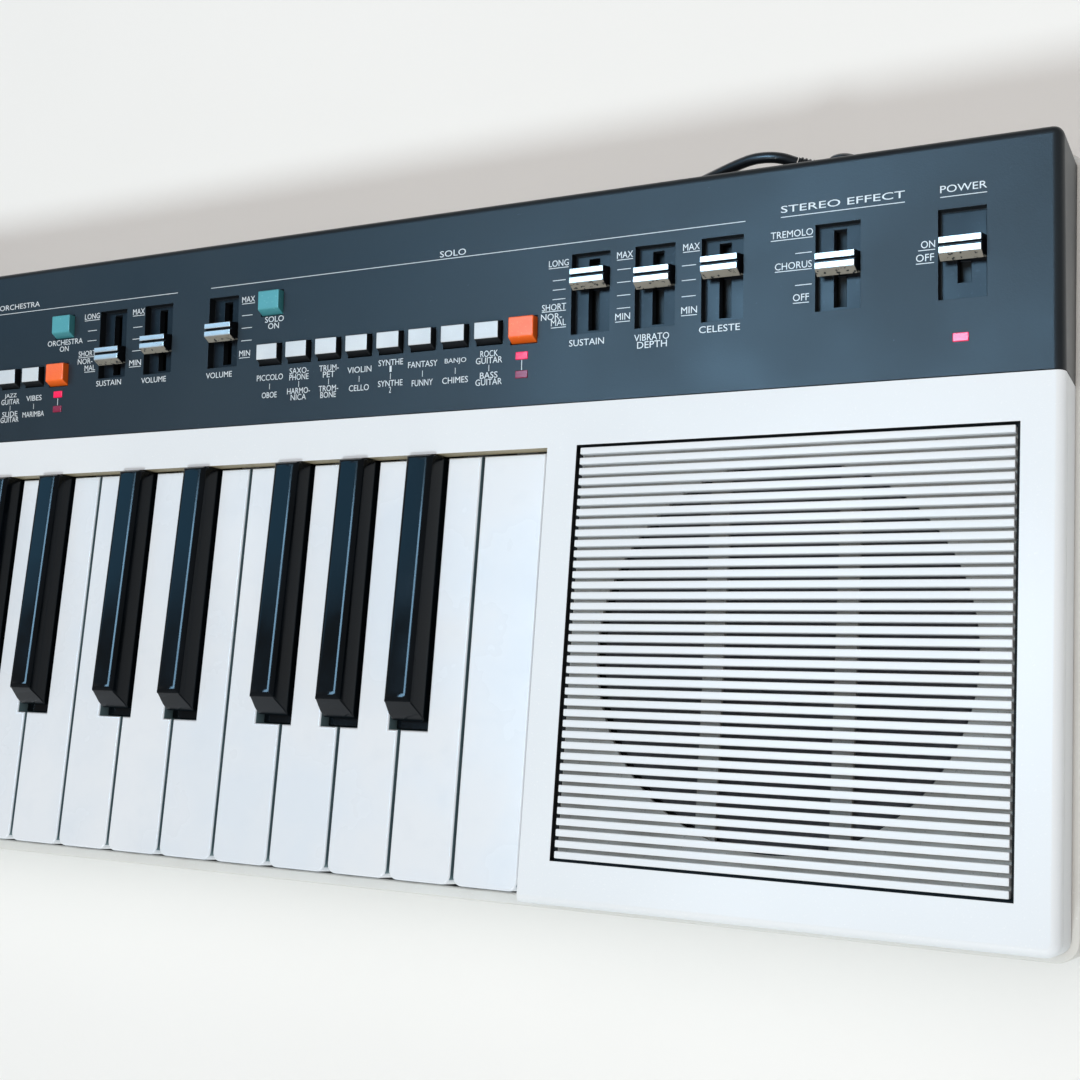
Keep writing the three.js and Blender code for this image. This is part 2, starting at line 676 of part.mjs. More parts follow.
// Note by note from C: its letter, and how far the black key on its right stands from their boundary.
const NOTES = [
  { letter: "c", sharp: -SHARP_SHIFT },
  { letter: "d", sharp: SHARP_SHIFT },
  { letter: "e" },
  { letter: "f", sharp: -SHARP_SHIFT },
  { letter: "g", sharp: 0 },
  { letter: "a", sharp: SHARP_SHIFT },
  { letter: "b" },
];
const noteOf = (i) => NOTES[i % NOTES.length];
const octaveOf = (i) => 2 + Math.floor(i / NOTES.length);
const hasSharp = (i) => i >= 0 && i < WHITE_KEYS - 1 && noteOf(i).sharp !== undefined;
const sharpX = (i) => KEYS_LEFT + (i + 1) * KEY_PITCH + noteOf(i).sharp;

// The rear part of white key i runs between the black keys at its sides.
function whiteKeyX(i) {
  const x0 = KEYS_LEFT + i * KEY_PITCH + KEY_GAP / 2;
  const x1 = x0 + KEY_PITCH - KEY_GAP;
  const r0 = hasSharp(i - 1) ? sharpX(i - 1) + NOTCH_WIDTH / 2 : x0;
  const r1 = hasSharp(i) ? sharpX(i) - NOTCH_WIDTH / 2 : x1;
  return { x0, x1, r0, r1 };
}

function whiteKeyOutline(i) {
  const { x0, x1, r0, r1 } = whiteKeyX(i);
  const r = KEY_CORNER_RADIUS;
  const shape = new THREE.Shape();
  shape.moveTo(x0 + r, KEY_FRONT);
  shape.lineTo(x1 - r, KEY_FRONT);
  shape.absarc(x1 - r, KEY_FRONT + r, r, -Math.PI / 2, 0);
  if (r1 < x1) {
    shape.lineTo(x1, NOTCH_FRONT);
    shape.lineTo(r1, NOTCH_FRONT);
  }
  shape.lineTo(r1, KEY_REAR);
  shape.lineTo(r0, KEY_REAR);
  if (r0 > x0) {
    shape.lineTo(r0, NOTCH_FRONT);
    shape.lineTo(x0, NOTCH_FRONT);
  }
  shape.lineTo(x0, KEY_FRONT + r);
  shape.absarc(x0 + r, KEY_FRONT + r, r, Math.PI, 1.5 * Math.PI);
  return shape;
}

function whiteKey(i) {
  const { x0, x1, r0, r1 } = whiteKeyX(i);
  const hollowZ = [KEY_TOP - WHITE_DEPTH - 1, KEY_TOP - 2 * KEY_WALL];
  const frontY = [KEY_FRONT + KEY_WALL, NOTCH_FRONT - KEY_WALL];
  const hollow = box([x0 + KEY_WALL, x1 - KEY_WALL], frontY, hollowZ).add(
    box([r0 + KEY_WALL, r1 - KEY_WALL], [NOTCH_FRONT - 2 * KEY_WALL, KEY_REAR - KEY_WALL], hollowZ),
  );
  const middle = (r0 + r1) / 2;
  const arm = box(
    [middle - ARM_WIDTH / 2, middle + ARM_WIDTH / 2],
    [KEY_REAR - KEY_WALL, PIVOT_Y + ARM_TAIL],
    [ARM_BOTTOM, ARM_TOP],
  );
  return prism(whiteKeyOutline(i), KEY_TOP - WHITE_DEPTH, KEY_TOP).subtract(hollow).add(arm);
}

function blackKey(i) {
  const x = sharpX(i);
  const front = KEY_FRONT + BLACK_FRONT;
  const side = beam(
    [
      [front, KEY_TOP - BLACK_DEPTH],
      [KEY_REAR, KEY_TOP - BLACK_DEPTH],
      [KEY_REAR, KEY_TOP + BLACK_RISE_REAR],
      [front + BLACK_FRONT_LEAN, KEY_TOP + BLACK_RISE_FRONT],
      [front, KEY_TOP],
    ],
    x - BLACK_WIDTH,
    x + BLACK_WIDTH,
  );
  const section = log(
    [
      [x - BLACK_WIDTH / 2, KEY_TOP - BLACK_DEPTH],
      [x + BLACK_WIDTH / 2, KEY_TOP - BLACK_DEPTH],
      [x + BLACK_WIDTH / 2, KEY_TOP + BLACK_SIDE_FOOT],
      [x + BLACK_TOP_WIDTH / 2, KEY_TOP + BLACK_RISE_FRONT],
      [x - BLACK_TOP_WIDTH / 2, KEY_TOP + BLACK_RISE_FRONT],
      [x - BLACK_WIDTH / 2, KEY_TOP + BLACK_SIDE_FOOT],
    ],
    front - 1,
    KEY_REAR + 1,
  );
  const arm = box(
    [x - ARM_WIDTH / 2, x + ARM_WIDTH / 2],
    [KEY_REAR - 2 * KEY_WALL, PIVOT_Y + ARM_TAIL],
    [ARM_BOTTOM, ARM_TOP],
  );
  return side.intersect(section).add(arm);
}

// The white comb's rail is behind the hinge line. The black comb's rail is above the arms.
function whiteComb(keys) {
  const ends = [keys[0], keys[keys.length - 1]].map((i) => whiteKeyX(i));
  const rail = box(
    [ends[0].r0, ends[1].r1],
    [PIVOT_Y + ARM_TAIL + 1, PIVOT_Y + ARM_TAIL + 1 + COMB_RAIL],
    [ARM_BOTTOM, ARM_TOP],
  );
  const tails = keys.map((i) => {
    const { r0, r1 } = whiteKeyX(i);
    const middle = (r0 + r1) / 2;
    const y = [PIVOT_Y, PIVOT_Y + ARM_TAIL + 2];
    return box([middle - ARM_WIDTH / 2, middle + ARM_WIDTH / 2], y, [ARM_BOTTOM, ARM_TOP]);
  });
  return union([rail, ...tails, ...keys.map(whiteKey)]);
}

function blackComb(keys) {
  const over = [ARM_TOP + SLIDER_CLEARANCE, ARM_TOP + SLIDER_CLEARANCE + 3];
  const y = [PIVOT_Y + ARM_TAIL - COMB_RAIL, PIVOT_Y + ARM_TAIL];
  const railX = [sharpX(keys[0]) - ARM_WIDTH / 2, sharpX(keys[keys.length - 1]) + ARM_WIDTH / 2];
  const rail = box(railX, y, over);
  const risers = keys.map((i) =>
    box([sharpX(i) - ARM_WIDTH / 2, sharpX(i) + ARM_WIDTH / 2], y, [ARM_TOP - 1, over[0] + 1]),
  );
  return union([rail, ...risers, ...keys.map(blackKey)]);
}

const whiteIndexes = Array.from({ length: WHITE_KEYS }, (_, i) => i);
const joinedWhite = whiteIndexes.slice(0, JOINED_WHITE_KEYS);
const singleWhite = whiteIndexes.slice(JOINED_WHITE_KEYS);
const blackIndexes = whiteIndexes.filter(hasSharp);
const joinedBlack = blackIndexes.filter((i) => i < JOINED_WHITE_KEYS - 1);
const singleBlack = blackIndexes.filter((i) => i >= JOINED_WHITE_KEYS - 1);

add("lower_white_keys", geometryOf(whiteComb(joinedWhite)), WHITE_KEY);
add("lower_black_keys", geometryOf(blackComb(joinedBlack)), BLACK_KEY);
for (const i of singleWhite) {
  add(`white_key_${noteOf(i).letter}${octaveOf(i)}`, geometryOf(whiteKey(i)), WHITE_KEY);
}
for (const i of singleBlack) {
  add(`black_key_${noteOf(i).letter}_sharp_${octaveOf(i)}`, geometryOf(blackKey(i)), BLACK_KEY);
}

// ---- Key frame: a plate on two rails, with the shelf that the arms turn on and a wall behind it ----

function keyFrame() {
  const x = [KEYS_LEFT + KEY_GAP, KEYS_RIGHT - KEY_GAP];
  const plateTop = KEY_TOP - FRAME_PLATE_DROP;
  const plateBottom = plateTop - FRAME_PLATE;
  const wallY = PIVOT_Y + ARM_TAIL + 1 + COMB_RAIL + WALL_GAP;
  const railZ = [FLOOR_TOP + SEAM_GAP, plateBottom + 1];
  return union([
    box(x, [KEY_FRONT + PLATE_INSET, wallY + FRAME_PLATE], [plateBottom, plateTop]),
    box(x, [KEY_FRONT + RAIL_INSET, KEY_FRONT + RAIL_INSET + FRAME_PLATE], railZ),
    box(x, [PIVOT_Y - 2 * FRAME_PLATE, PIVOT_Y - FRAME_PLATE], railZ),
    box(x, [PIVOT_Y + ARM_TAIL - SHELF_WIDTH, PIVOT_Y + ARM_TAIL], [plateTop - 1, ARM_BOTTOM - SLIDER_CLEARANCE]),
    box(x, [wallY, wallY + FRAME_PLATE], [plateTop - 1, ARM_TOP + WALL_RISE]),
  ]);
}
add("key_frame", geometryOf(keyFrame()), STEEL);

// ---- Loudspeakers ----

function grille(side) {
  const [x0, x1] = windowX(side);
  const middleX = (x0 + x1) / 2;
  const middleY = (WINDOW_Y[0] + WINDOW_Y[1]) / 2;
  const plateTop = COVER_TOP - COVER_WALL - SEAM_GAP;
  const plateZ = [plateTop - GRILLE_PLATE, plateTop];
  const plate = box(
    [x0 - GRILLE_FLANGE, x1 + GRILLE_FLANGE],
    [WINDOW_Y[0] - GRILLE_FLANGE, WINDOW_Y[1] + GRILLE_FLANGE],
    plateZ,
  );
  const hole = new THREE.CylinderGeometry(GRILLE_OPEN_RADIUS, GRILLE_OPEN_RADIUS, FAR, 16);
  hole.rotateX(Math.PI / 2);
  const ribs = [-1, 1].map((end) => {
    const x = middleX + end * GRILLE_RIB_OFFSET;
    const reach = GRILLE_OPEN_RADIUS + GRILLE_FLANGE;
    return box(
      [x - GRILLE_RIB_WIDTH / 2, x + GRILLE_RIB_WIDTH / 2],
      [middleY - reach, middleY + reach],
      [plateZ[0] - GRILLE_RIB_DEPTH, plateZ[0]],
    );
  });
  const open = solid(hole.translate(middleX, middleY, plateTop));
  const bars = Array.from({ length: BAR_COUNT }, (_, i) => {
    const y = middleY + (i - (BAR_COUNT - 1) / 2) * BAR_PITCH;
    return box(
      [x0 + BAR_END_GAP, x1 - BAR_END_GAP],
      [y - BAR_WIDTH / 2, y + BAR_WIDTH / 2],
      [plateTop - GRILLE_PLATE / 2, COVER_TOP - BAR_DROP],
    );
  });
  return plate.subtract(open).add(union(bars)).add(union(ribs));
}

// Flange, basket, magnet, cone and dust cap in one turned outline, from the axis and back to it.
const DRIVER_PROFILE = [
  [0, -DRIVER_DEPTH],
  [30, -DRIVER_DEPTH],
  [30, -24],
  [DRIVER_RADIUS - 5, -5.5],
  [DRIVER_RADIUS, -2.5],
  [DRIVER_RADIUS, 0],
  [DRIVER_RADIUS - 3, 0],
  [DRIVER_RADIUS - 9, -1.2],
  [DRIVER_RADIUS - 13, -3],
  [14, -15],
  [9, -11],
  [0, -9],
];

for (const [word, side] of [["left", -1], ["right", 1]]) {
  add(`speaker_grille_${word}`, geometryOf(grille(side)), WHITE_PLASTIC);
  const [x0, x1] = windowX(side);
  const driverTop = COVER_TOP - COVER_WALL - 2 * SEAM_GAP - GRILLE_PLATE - GRILLE_RIB_DEPTH;
  const driver = add(`speaker_driver_${word}`, turned(DRIVER_PROFILE, 20), STEEL);
  driver.position.set((x0 + x1) / 2, (WINDOW_Y[0] + WINDOW_Y[1]) / 2, driverTop);
}

// ---- Supply socket in the rear wall ----

const JACK_PROFILE = [
  [0, -JACK_LENGTH],
  [JACK_RADIUS + JACK_FLANGE, -JACK_LENGTH],
  [JACK_RADIUS + JACK_FLANGE, -PANEL_WALL - SEAM_GAP],
  [JACK_RADIUS, -PANEL_WALL - SEAM_GAP],
  [JACK_RADIUS, SEAM_GAP],
  [JACK_BORE, SEAM_GAP],
  [JACK_BORE, 2 - JACK_LENGTH],
  [1, 2 - JACK_LENGTH],
  [1, -1],
  [0, -1],
];
const jack = add("supply_socket", turned(JACK_PROFILE, 16), RUBBER);
jack.rotation.x = -Math.PI / 2;
jack.position.set(JACK_X, REAR, JACK_Z);

// ---- Plug: a flat right-angled body on its barrel, with a tapered strain relief ----

const RELIEF_LENGTH = 8;
const RELIEF_ROOT = 2; // of the relief inside the plug's body
const RELIEF_RADIUS = 2.3;
const BARREL_INSET = 2.6; // of the barrel's end from the socket's rear end
const CORD_START = new THREE.Vector3(KEYS_RIGHT + 76.4, KEY_FRONT + 221.6, KEY_TOP - 3);
const CORD_DIRECTION = new THREE.Vector3(-0.86, 0.27, 0.43).normalize();
const BARREL_OUTER = JACK_BORE - SEAM_GAP;
const BARREL_INNER = 1 + SEAM_GAP;
const PLUG_BODY = { radius: 5, y: [REAR + 2 * SEAM_GAP, REAR + 6.2] };

function frustum(from, to, r0, r1, segments) {
  const along = new THREE.Vector3().subVectors(to, from);
  const geometry = new THREE.CylinderGeometry(r1, r0, along.length(), segments);
  const turn = new THREE.Quaternion();
  turn.setFromUnitVectors(new THREE.Vector3(0, 1, 0), along.clone().normalize());
  const middle = new THREE.Vector3().addVectors(from, to).multiplyScalar(0.5);
  return solid(geometry.applyQuaternion(turn).translate(middle.x, middle.y, middle.z));
}

function plug() {
  const at = (y) => new THREE.Vector3(JACK_X, y, JACK_Z);
  const barrelEnd = REAR - JACK_LENGTH + BARREL_INSET;
  const barrel = frustum(at(barrelEnd), at(PLUG_BODY.y[0] + 1), BARREL_OUTER, BARREL_OUTER, 16);
  const bore = frustum(at(barrelEnd - 1), at(REAR - 0.4), BARREL_INNER, BARREL_INNER, 12);
  const body = frustum(at(PLUG_BODY.y[0]), at(PLUG_BODY.y[1]), PLUG_BODY.radius, PLUG_BODY.radius, 20);
  const reliefRoot = CORD_START.clone().addScaledVector(CORD_DIRECTION, -RELIEF_LENGTH - RELIEF_ROOT);
  const reliefEnd = CORD_START.clone().addScaledVector(CORD_DIRECTION, -SEAM_GAP);
  const relief = frustum(reliefRoot, reliefEnd, RELIEF_RADIUS, CORD_DIAMETER / 2 + 0.25, 12);
  return union([barrel.subtract(bore), body, relief]);
}
add("cord_plug", geometryOf(plug()), RUBBER);

// ---- Lead: a tube to the coil that it is stored in, and the mains adapter that it ends in ----

// Route from the plug, in millimetres from the last key's right side, the key fronts and the floor.
// Its heights are listed for a lead that starts at LISTED_START, and follow the plug when the socket is moved.
const FLOOR_LINE = CORD_DIAMETER / 2;
const LISTED_START = 56.8;
const HEIGHT_SCALE = (CORD_START.z - FLOOR_LINE) / (LISTED_START - FLOOR_LINE);
const CORD_ROUTE = [
  [76.4, 221.6, 56.8],
  [72.4, 222.8, 58.6],
  [68, 223.4, 59.4],
  [63, 223.6, 59],
  [57, 223.2, 57.2],
  [50, 222.6, 54.4],
  [42, 222.4, 50.2],
  [33, 222.8, 44.4],
  [22, 224, 35.4],
  [10, 225.6, 25.4],
  [-4, 227.6, 14.8],
  [-20, 229.6, 6.6],
  [-38, 231.2, 2.8],
  [-60, 232.4, FLOOR_LINE],
  [-110, 233.4, FLOOR_LINE],
  [-170, 231.8, FLOOR_LINE],
  [-230, 233.2, FLOOR_LINE],
  [-280, 231.4, FLOOR_LINE],
  [-320, 229.2, FLOOR_LINE],
  [-345, 227.8, FLOOR_LINE],
  [-358.4, 227.5, FLOOR_LINE],
].map(([x, y, z]) => {
  const height = FLOOR_LINE + (z - FLOOR_LINE) * HEIGHT_SCALE;
  return new THREE.Vector3(KEYS_RIGHT + x, KEY_FRONT + y, height);
});
const CORD_STEPS = 52;

function octagon(radius) {
  const shape = new THREE.Shape();
  for (let i = 0; i < 8; i += 1) {
    const angle = ((i + 0.5) * Math.PI) / 4;
    const point = [radius * Math.cos(angle), radius * Math.sin(angle)];
    if (i === 0) shape.moveTo(...point);
    else shape.lineTo(...point);
  }
  return shape;
}
const cordTube = new THREE.ExtrudeGeometry(octagon(CORD_DIAMETER / 2), {
  steps: CORD_STEPS,
  extrudePath: new THREE.CatmullRomCurve3(CORD_ROUTE),
});
add("supply_cord", cordTube, RUBBER);

const COIL_CENTRE = [KEYS_RIGHT - 372, KEY_FRONT + 252];
const coilRing = turned(
  [
    [COIL_INNER, 0],
    [COIL_OUTER, 0],
    [COIL_OUTER, COIL_HEIGHT],
    [COIL_INNER, COIL_HEIGHT],
    [COIL_INNER, 0],
  ],
  32,
);
add("cord_coil", coilRing, RUBBER).position.set(...COIL_CENTRE, 0);

const ADAPTER = { x: [-465, -402], y: [221, 257], height: 30, relief: { y: 227.5, z: 12.1, radius: 3 } };
const BLADE = { length: 17, offset: 6.35, halfThickness: 0.75, halfWidth: 3.15 };

function mainsAdapter() {
  const x = ADAPTER.x.map((value) => KEYS_RIGHT + value);
  const y = ADAPTER.y.map((value) => KEY_FRONT + value);
  const body = softBlock(x, y, [0, ADAPTER.height], 4, 2.4, 1);
  const reliefY = KEY_FRONT + ADAPTER.relief.y;
  const tip = CORD_DIAMETER / 2 + 0.3;
  const reach = Math.sqrt(COIL_OUTER ** 2 - (reliefY + tip - COIL_CENTRE[1]) ** 2);
  const relief = frustum(
    new THREE.Vector3(x[1] - 3, reliefY, ADAPTER.relief.z),
    new THREE.Vector3(COIL_CENTRE[0] - reach - SEAM_GAP, reliefY, ADAPTER.relief.z),
    ADAPTER.relief.radius,
    tip,
    12,
  );
  const middle = [(y[0] + y[1]) / 2, ADAPTER.height / 2];
  const blades = [-1, 1].map((side) => {
    const bladeY = middle[0] + side * BLADE.offset;
    return box(
      [x[0] - BLADE.length, x[0] + 2],
      [bladeY - BLADE.halfThickness, bladeY + BLADE.halfThickness],
      [middle[1] - BLADE.halfWidth, middle[1] + BLADE.halfWidth],
    );
  });
  return union([body, relief, ...blades]);
}
add("mains_adapter", geometryOf(mainsAdapter()), RUBBER);

export default instrument;
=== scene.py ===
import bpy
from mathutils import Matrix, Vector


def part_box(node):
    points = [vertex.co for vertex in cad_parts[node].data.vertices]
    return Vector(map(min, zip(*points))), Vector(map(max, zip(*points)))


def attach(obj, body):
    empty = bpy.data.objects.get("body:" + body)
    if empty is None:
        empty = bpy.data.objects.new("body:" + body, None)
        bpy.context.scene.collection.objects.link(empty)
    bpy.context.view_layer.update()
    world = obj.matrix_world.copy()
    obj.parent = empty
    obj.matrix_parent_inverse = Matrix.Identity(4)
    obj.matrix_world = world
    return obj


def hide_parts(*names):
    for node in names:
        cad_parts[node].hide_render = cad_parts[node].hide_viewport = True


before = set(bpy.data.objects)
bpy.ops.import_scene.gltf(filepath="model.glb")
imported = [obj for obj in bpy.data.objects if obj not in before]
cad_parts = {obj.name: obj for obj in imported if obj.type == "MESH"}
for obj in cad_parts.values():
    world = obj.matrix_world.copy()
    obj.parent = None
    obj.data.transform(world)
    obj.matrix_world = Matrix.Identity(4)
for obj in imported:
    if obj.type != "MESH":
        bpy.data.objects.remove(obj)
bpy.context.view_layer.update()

import math

import bmesh
import bpy
from mathutils import Matrix, Vector

MM = 0.001

# ---- Studio ----
# A matt white table top under a wide overhead softbox. A distant key light in front of the instrument throws
# the short soft shadow behind it, and two blue cards show only as reflections in the gloss.


def linear(colour):
    """An sRGB hex colour as the linear red, green, blue and alpha that a shader takes."""
    parts = [int(colour[i : i + 2], 16) / 255 for i in (1, 3, 5)]
    return [p / 12.92 if p <= 0.04045 else ((p + 0.055) / 1.055) ** 2.4 for p in parts] + [1.0]


def connect(tree, target, inputs):
    """Gives each named input of a node a value, or a link from another node's socket."""
    for name, value in inputs.items():
        if isinstance(value, bpy.types.NodeSocket):
            tree.links.new(value, target.inputs[name])
        else:
            target.inputs[name].default_value = value


def node(tree, kind, inputs, output=0, **settings):
    """Adds a shader node with its settings and links, and returns one of its output sockets."""
    made = tree.nodes.new(kind)
    for name, value in settings.items():
        setattr(made, name, value)
    connect(tree, made, inputs)
    return made.outputs[output]


def material(name, **sockets):
    """A new material: returns it, its node tree, its Principled shader and its object coordinates."""
    made = bpy.data.materials.new(name)
    made.use_nodes = True
    tree = made.node_tree
    shader = tree.nodes["Principled BSDF"]
    connect(tree, shader, {socket.replace("_", " "): value for socket, value in sockets.items()})
    return made, tree, shader, node(tree, "ShaderNodeTexCoord", {}, "Object")


def per_mm(size):
    """The texture scale that draws features of that size in millimetres."""
    return 1 / (size * MM)


def painted_table():
    """Emulsion on board: dead matt, with a hardly visible roller texture of 3 mm."""
    made, tree, shader, place = material("painted_table", Roughness=0.9)
    mottle = node(tree, "ShaderNodeTexNoise", {"Vector": place, "Scale": per_mm(180)})
    roller = node(tree, "ShaderNodeTexNoise", {"Vector": place, "Scale": per_mm(3)})
    whites = {0: mottle, 6: linear("#F3F2EF"), 7: linear("#EEEDEA")}
    surface = {
        "Base Color": node(tree, "ShaderNodeMix", whites, 2, data_type="RGBA"),
        "Normal": node(tree, "ShaderNodeBump", {"Height": roller, "Distance": 0.04 * MM}),
    }
    connect(tree, shader, surface)
    return made


def linked(name, data):
    """A new object of that name, linked to the scene."""
    made = bpy.data.objects.new(name, data)
    bpy.context.scene.collection.objects.link(made)
    return made


TABLE_HALF = 6.0
TABLE_DROP = 0.15 * MM


def stage_floor():
    mesh = bpy.data.meshes.new("table_top")
    corners = [(x * TABLE_HALF, y * TABLE_HALF, -TABLE_DROP) for x, y in ((-1, -1), (1, -1), (1, 1), (-1, 1))]
    mesh.from_pydata(corners, [], [(0, 1, 2, 3)])
    mesh.materials.append(painted_table())
    linked("table_top", mesh)


def softbox(name, place, aim, width, height, power, colour):
    light = bpy.data.lights.new(name, "AREA")
    light.shape = "RECTANGLE"
    light.size = width
    light.size_y = height
    light.energy = power
    light.color = linear(colour)[:3]
    lamp = linked(name, light)
    lamp.location = place
    lamp.rotation_euler = (Vector(aim) - Vector(place)).to_track_quat("-Z", "Y").to_euler()
    return lamp


def distant_key(aim_from, strength, width_degrees, colour):
    """Light as even as from a far window: its width in degrees sets how soft the shadow's edge is."""
    light = bpy.data.lights.new("distant_key", "SUN")
    light.energy = strength
    light.angle = math.radians(width_degrees)
    light.color = linear(colour)[:3]
    linked("distant_key", light).rotation_euler = (-Vector(aim_from)).to_track_quat("-Z", "Y").to_euler()


stage_floor()
# The fill lights the object but isn't mirrored in it. The two cards are seen only as reflections.
fill = softbox("ceiling_fill", (0.75, 0.25, 2.6), (0.5, 0.1, 0), 2.8, 2.6, 43, "#FFF7F2")
fill.visible_glossy = False
distant_key((-0.2, -2.5, 3.0), 1.6, 10, "#EDF9FF")
near_card = softbox("near_blue_card", (-0.3, 0.25, 2.6), (-0.3, 0.25, 0), 1.1, 0.8, 58, "#A5D9FF")
far_card = softbox("far_blue_card", (-2.9, 1.0, 2.6), (-2.9, 1.0, 0), 3.4, 1.1, 20, "#68C7FF")
for card in (near_card, far_card):
    card.visible_diffuse = False

sky = bpy.data.worlds.new("studio")
sky.use_nodes = True
background = sky.node_tree.nodes["Background"]
connect(sky.node_tree, background, {"Color": linear("#EEF3F8"), "Strength": 0.25})
bpy.context.scene.world = sky
bpy.context.scene.view_settings.view_transform = "Standard"


def stand_camera():
    """A long-ish lens above the right-hand end, turned so that the keys stand upright in its view."""
    right = Vector((0.88352, 0.06811, -0.46342))
    down = Vector((-0.01906, -0.98332, -0.18087))
    ahead = Vector((-0.46801, 0.16864, -0.86748))
    axes = Matrix((right, -down, -ahead)).transposed().to_4x4()
    lens = bpy.data.cameras.new("camera")
    lens.sensor_width = 36.0
    lens.lens = 49.73
    lens.clip_start = 0.01
    camera = linked("camera", lens)
    camera.matrix_world = Matrix.Translation((0.55699, -0.07791, 0.46187)) @ axes
    bpy.context.scene.camera = camera


stand_camera()

# ---- Lower case ----
# The tub of the instrument: one moulding of light warm grey ABS with a 3.5 mm wall, standing on four rubber
# feet. Its rim stands about 2 mm proud of the cover. Ten screws in round wells hold the cover.

case_low, case_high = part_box("bottom_case")
door_low, door_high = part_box("battery_door")
FOOT_HEIGHT = 4 * MM
FOOT_RADIUS = 9 * MM
FOOT_INSET = (60 * MM, 34 * MM)
FOOT_PLACES = [
    (x * (case_high.x - FOOT_INSET[0]), y * (case_high.y - FOOT_INSET[1])) for x in (-1, 1) for y in (-1, 1)
]
CASE_TOP = case_high.z
CASE_CORNER = 6.2 * MM
CASE_WALL = 3.5 * MM
CASE_EDGE = 3 * MM
FLOOR_TOP = FOOT_HEIGHT + 3 * MM
DOOR_GAP = 0.4 * MM
DOOR_LEDGE = 5 * MM
WELL_RADIUS = 4.5 * MM
WELL_DEPTH = 2 * MM
WELL_PLACES = [(x * MM, y * MM) for x in (-455, -150, 150, 320, 455) for y in (-92, 92)]
SCREW_RADIUS = 3 * MM
CORNER_STEPS = 6
CREASE_DEGREES = 35
QUARTER_TURN = [math.radians(15 * i) for i in range(7)]


def moulded(name, colours, roughness, grain, depth, mottle=70, coat=0.0, ior=1.53, specular=0.5):
    """Injection-moulded plastic: the mould's spark-eroded grain is a fine bump, and the colour and the
    gloss drift a little over some centimetres where the melt flowed and where hands have rubbed it."""
    sockets = {"IOR": ior, "Specular_IOR_Level": specular, "Coat_Weight": coat, "Coat_Roughness": 0.08}
    made, tree, shader, place = material(name, **sockets)
    flow = node(tree, "ShaderNodeTexNoise", {"Vector": place, "Scale": per_mm(mottle), "Detail": 3.0})
    drift = node(tree, "ShaderNodeMapRange", {"Value": flow, "From Min": 0.35, "From Max": 0.65})
    grit = node(tree, "ShaderNodeTexNoise", {"Vector": place, "Scale": per_mm(grain), "Detail": 3.0})
    peaks = node(tree, "ShaderNodeMapRange", {"Value": grit, "From Min": 0.62, "From Max": 0.78})
    usual, drifted, speck = map(linear, colours)
    body = node(tree, "ShaderNodeMix", {0: drift, 6: usual, 7: drifted}, 2, data_type="RGBA")
    rubbed = {"Value": drift, "To Min": roughness - 0.04, "To Max": roughness + 0.05}
    surface = {
        "Base Color": node(tree, "ShaderNodeMix", {0: peaks, 6: body, 7: speck}, 2, data_type="RGBA"),
        "Roughness": node(tree, "ShaderNodeMapRange", rubbed),
        "Normal": node(tree, "ShaderNodeBump", {"Height": grit, "Distance": depth * MM}),
    }
    connect(tree, shader, surface)
    return made


# A soft satin for the case, and a dull, nearly black rubber that takes no highlight.
grey_abs = moulded("moulded_grey_abs", ("#DBD9D3", "#D5D2CB", "#E2E0DB"), 0.5, 0.9, 0.012)
foot_rubber = moulded("moulded_foot_rubber", ("#1C1D1F", "#232426", "#303133"), 0.75, 0.6, 0.02)


def around(middle, half):
    """The two ends of a stretch, from its middle and half its length."""
    return middle - half, middle + half


def grown(stretch, margin):
    """A stretch made longer by a margin at each end, or shorter by a negative one."""
    return stretch[0] - margin, stretch[1] + margin


def raised(ring, z):
    """A flat outline as points at a height."""
    return [(x, y, z) for x, y in ring]


def circle(x, y, radius, count):
    angles = [2 * math.pi * i / count for i in range(count)]
    return [(x + radius * math.cos(a), y + radius * math.sin(a)) for a in angles]


def outline(x, y, radius):
    """A rectangle with round corners, counter-clockwise from its front left corner."""
    corners = [
        (x[0] + radius, y[0] + radius, 180),
        (x[1] - radius, y[0] + radius, 270),
        (x[1] - radius, y[1] - radius, 0),
        (x[0] + radius, y[1] - radius, 90),
    ]
    points = []
    for centre_x, centre_y, start in corners:
        for i in range(CORNER_STEPS + 1):
            angle = math.radians(start + 90 * i / CORNER_STEPS)
            points.append((centre_x + radius * math.cos(angle), centre_y + radius * math.sin(angle)))
    return points


def loft(bm, rings, ends="capped"):
    """Skins a stack of rings with equal counts of points. Its ends are capped, left open or joined."""
    rows = [[bm.verts.new(point) for point in ring] for ring in rings]
    following = rows[1:] + rows[:1] if ends == "joined" else rows[1:]
    for low, high in zip(rows, following):
        for i in range(len(low)):
            j = (i + 1) % len(low)
            bm.faces.new((low[i], low[j], high[j], high[i]))
    if ends == "capped":
        bm.faces.new(rows[0][::-1])
        bm.faces.new(rows[-1])
    return [vert for row in rows for vert in row]


def rectangle(x, y):
    return [(x[0], y[0]), (x[1], y[0]), (x[1], y[1]), (x[0], y[1])]


def block(bm, x, y, z):
    """A closed block between its lowest and highest x, y and z."""
    return loft(bm, [raised(rectangle(x, y), level) for level in z])


def turned(bm, profile, segments, place):
    """A profile of radius and height turned about Z. A radius of 0 closes it on the axis."""
    rings = []
    for radius, height in profile:
        rings.append([place @ Vector(point) for point in raised(circle(0, 0, radius, segments), height)])
    verts = loft(bm, rings, "open")
    bmesh.ops.remove_doubles(bm, verts=verts, dist=0.001 * MM)


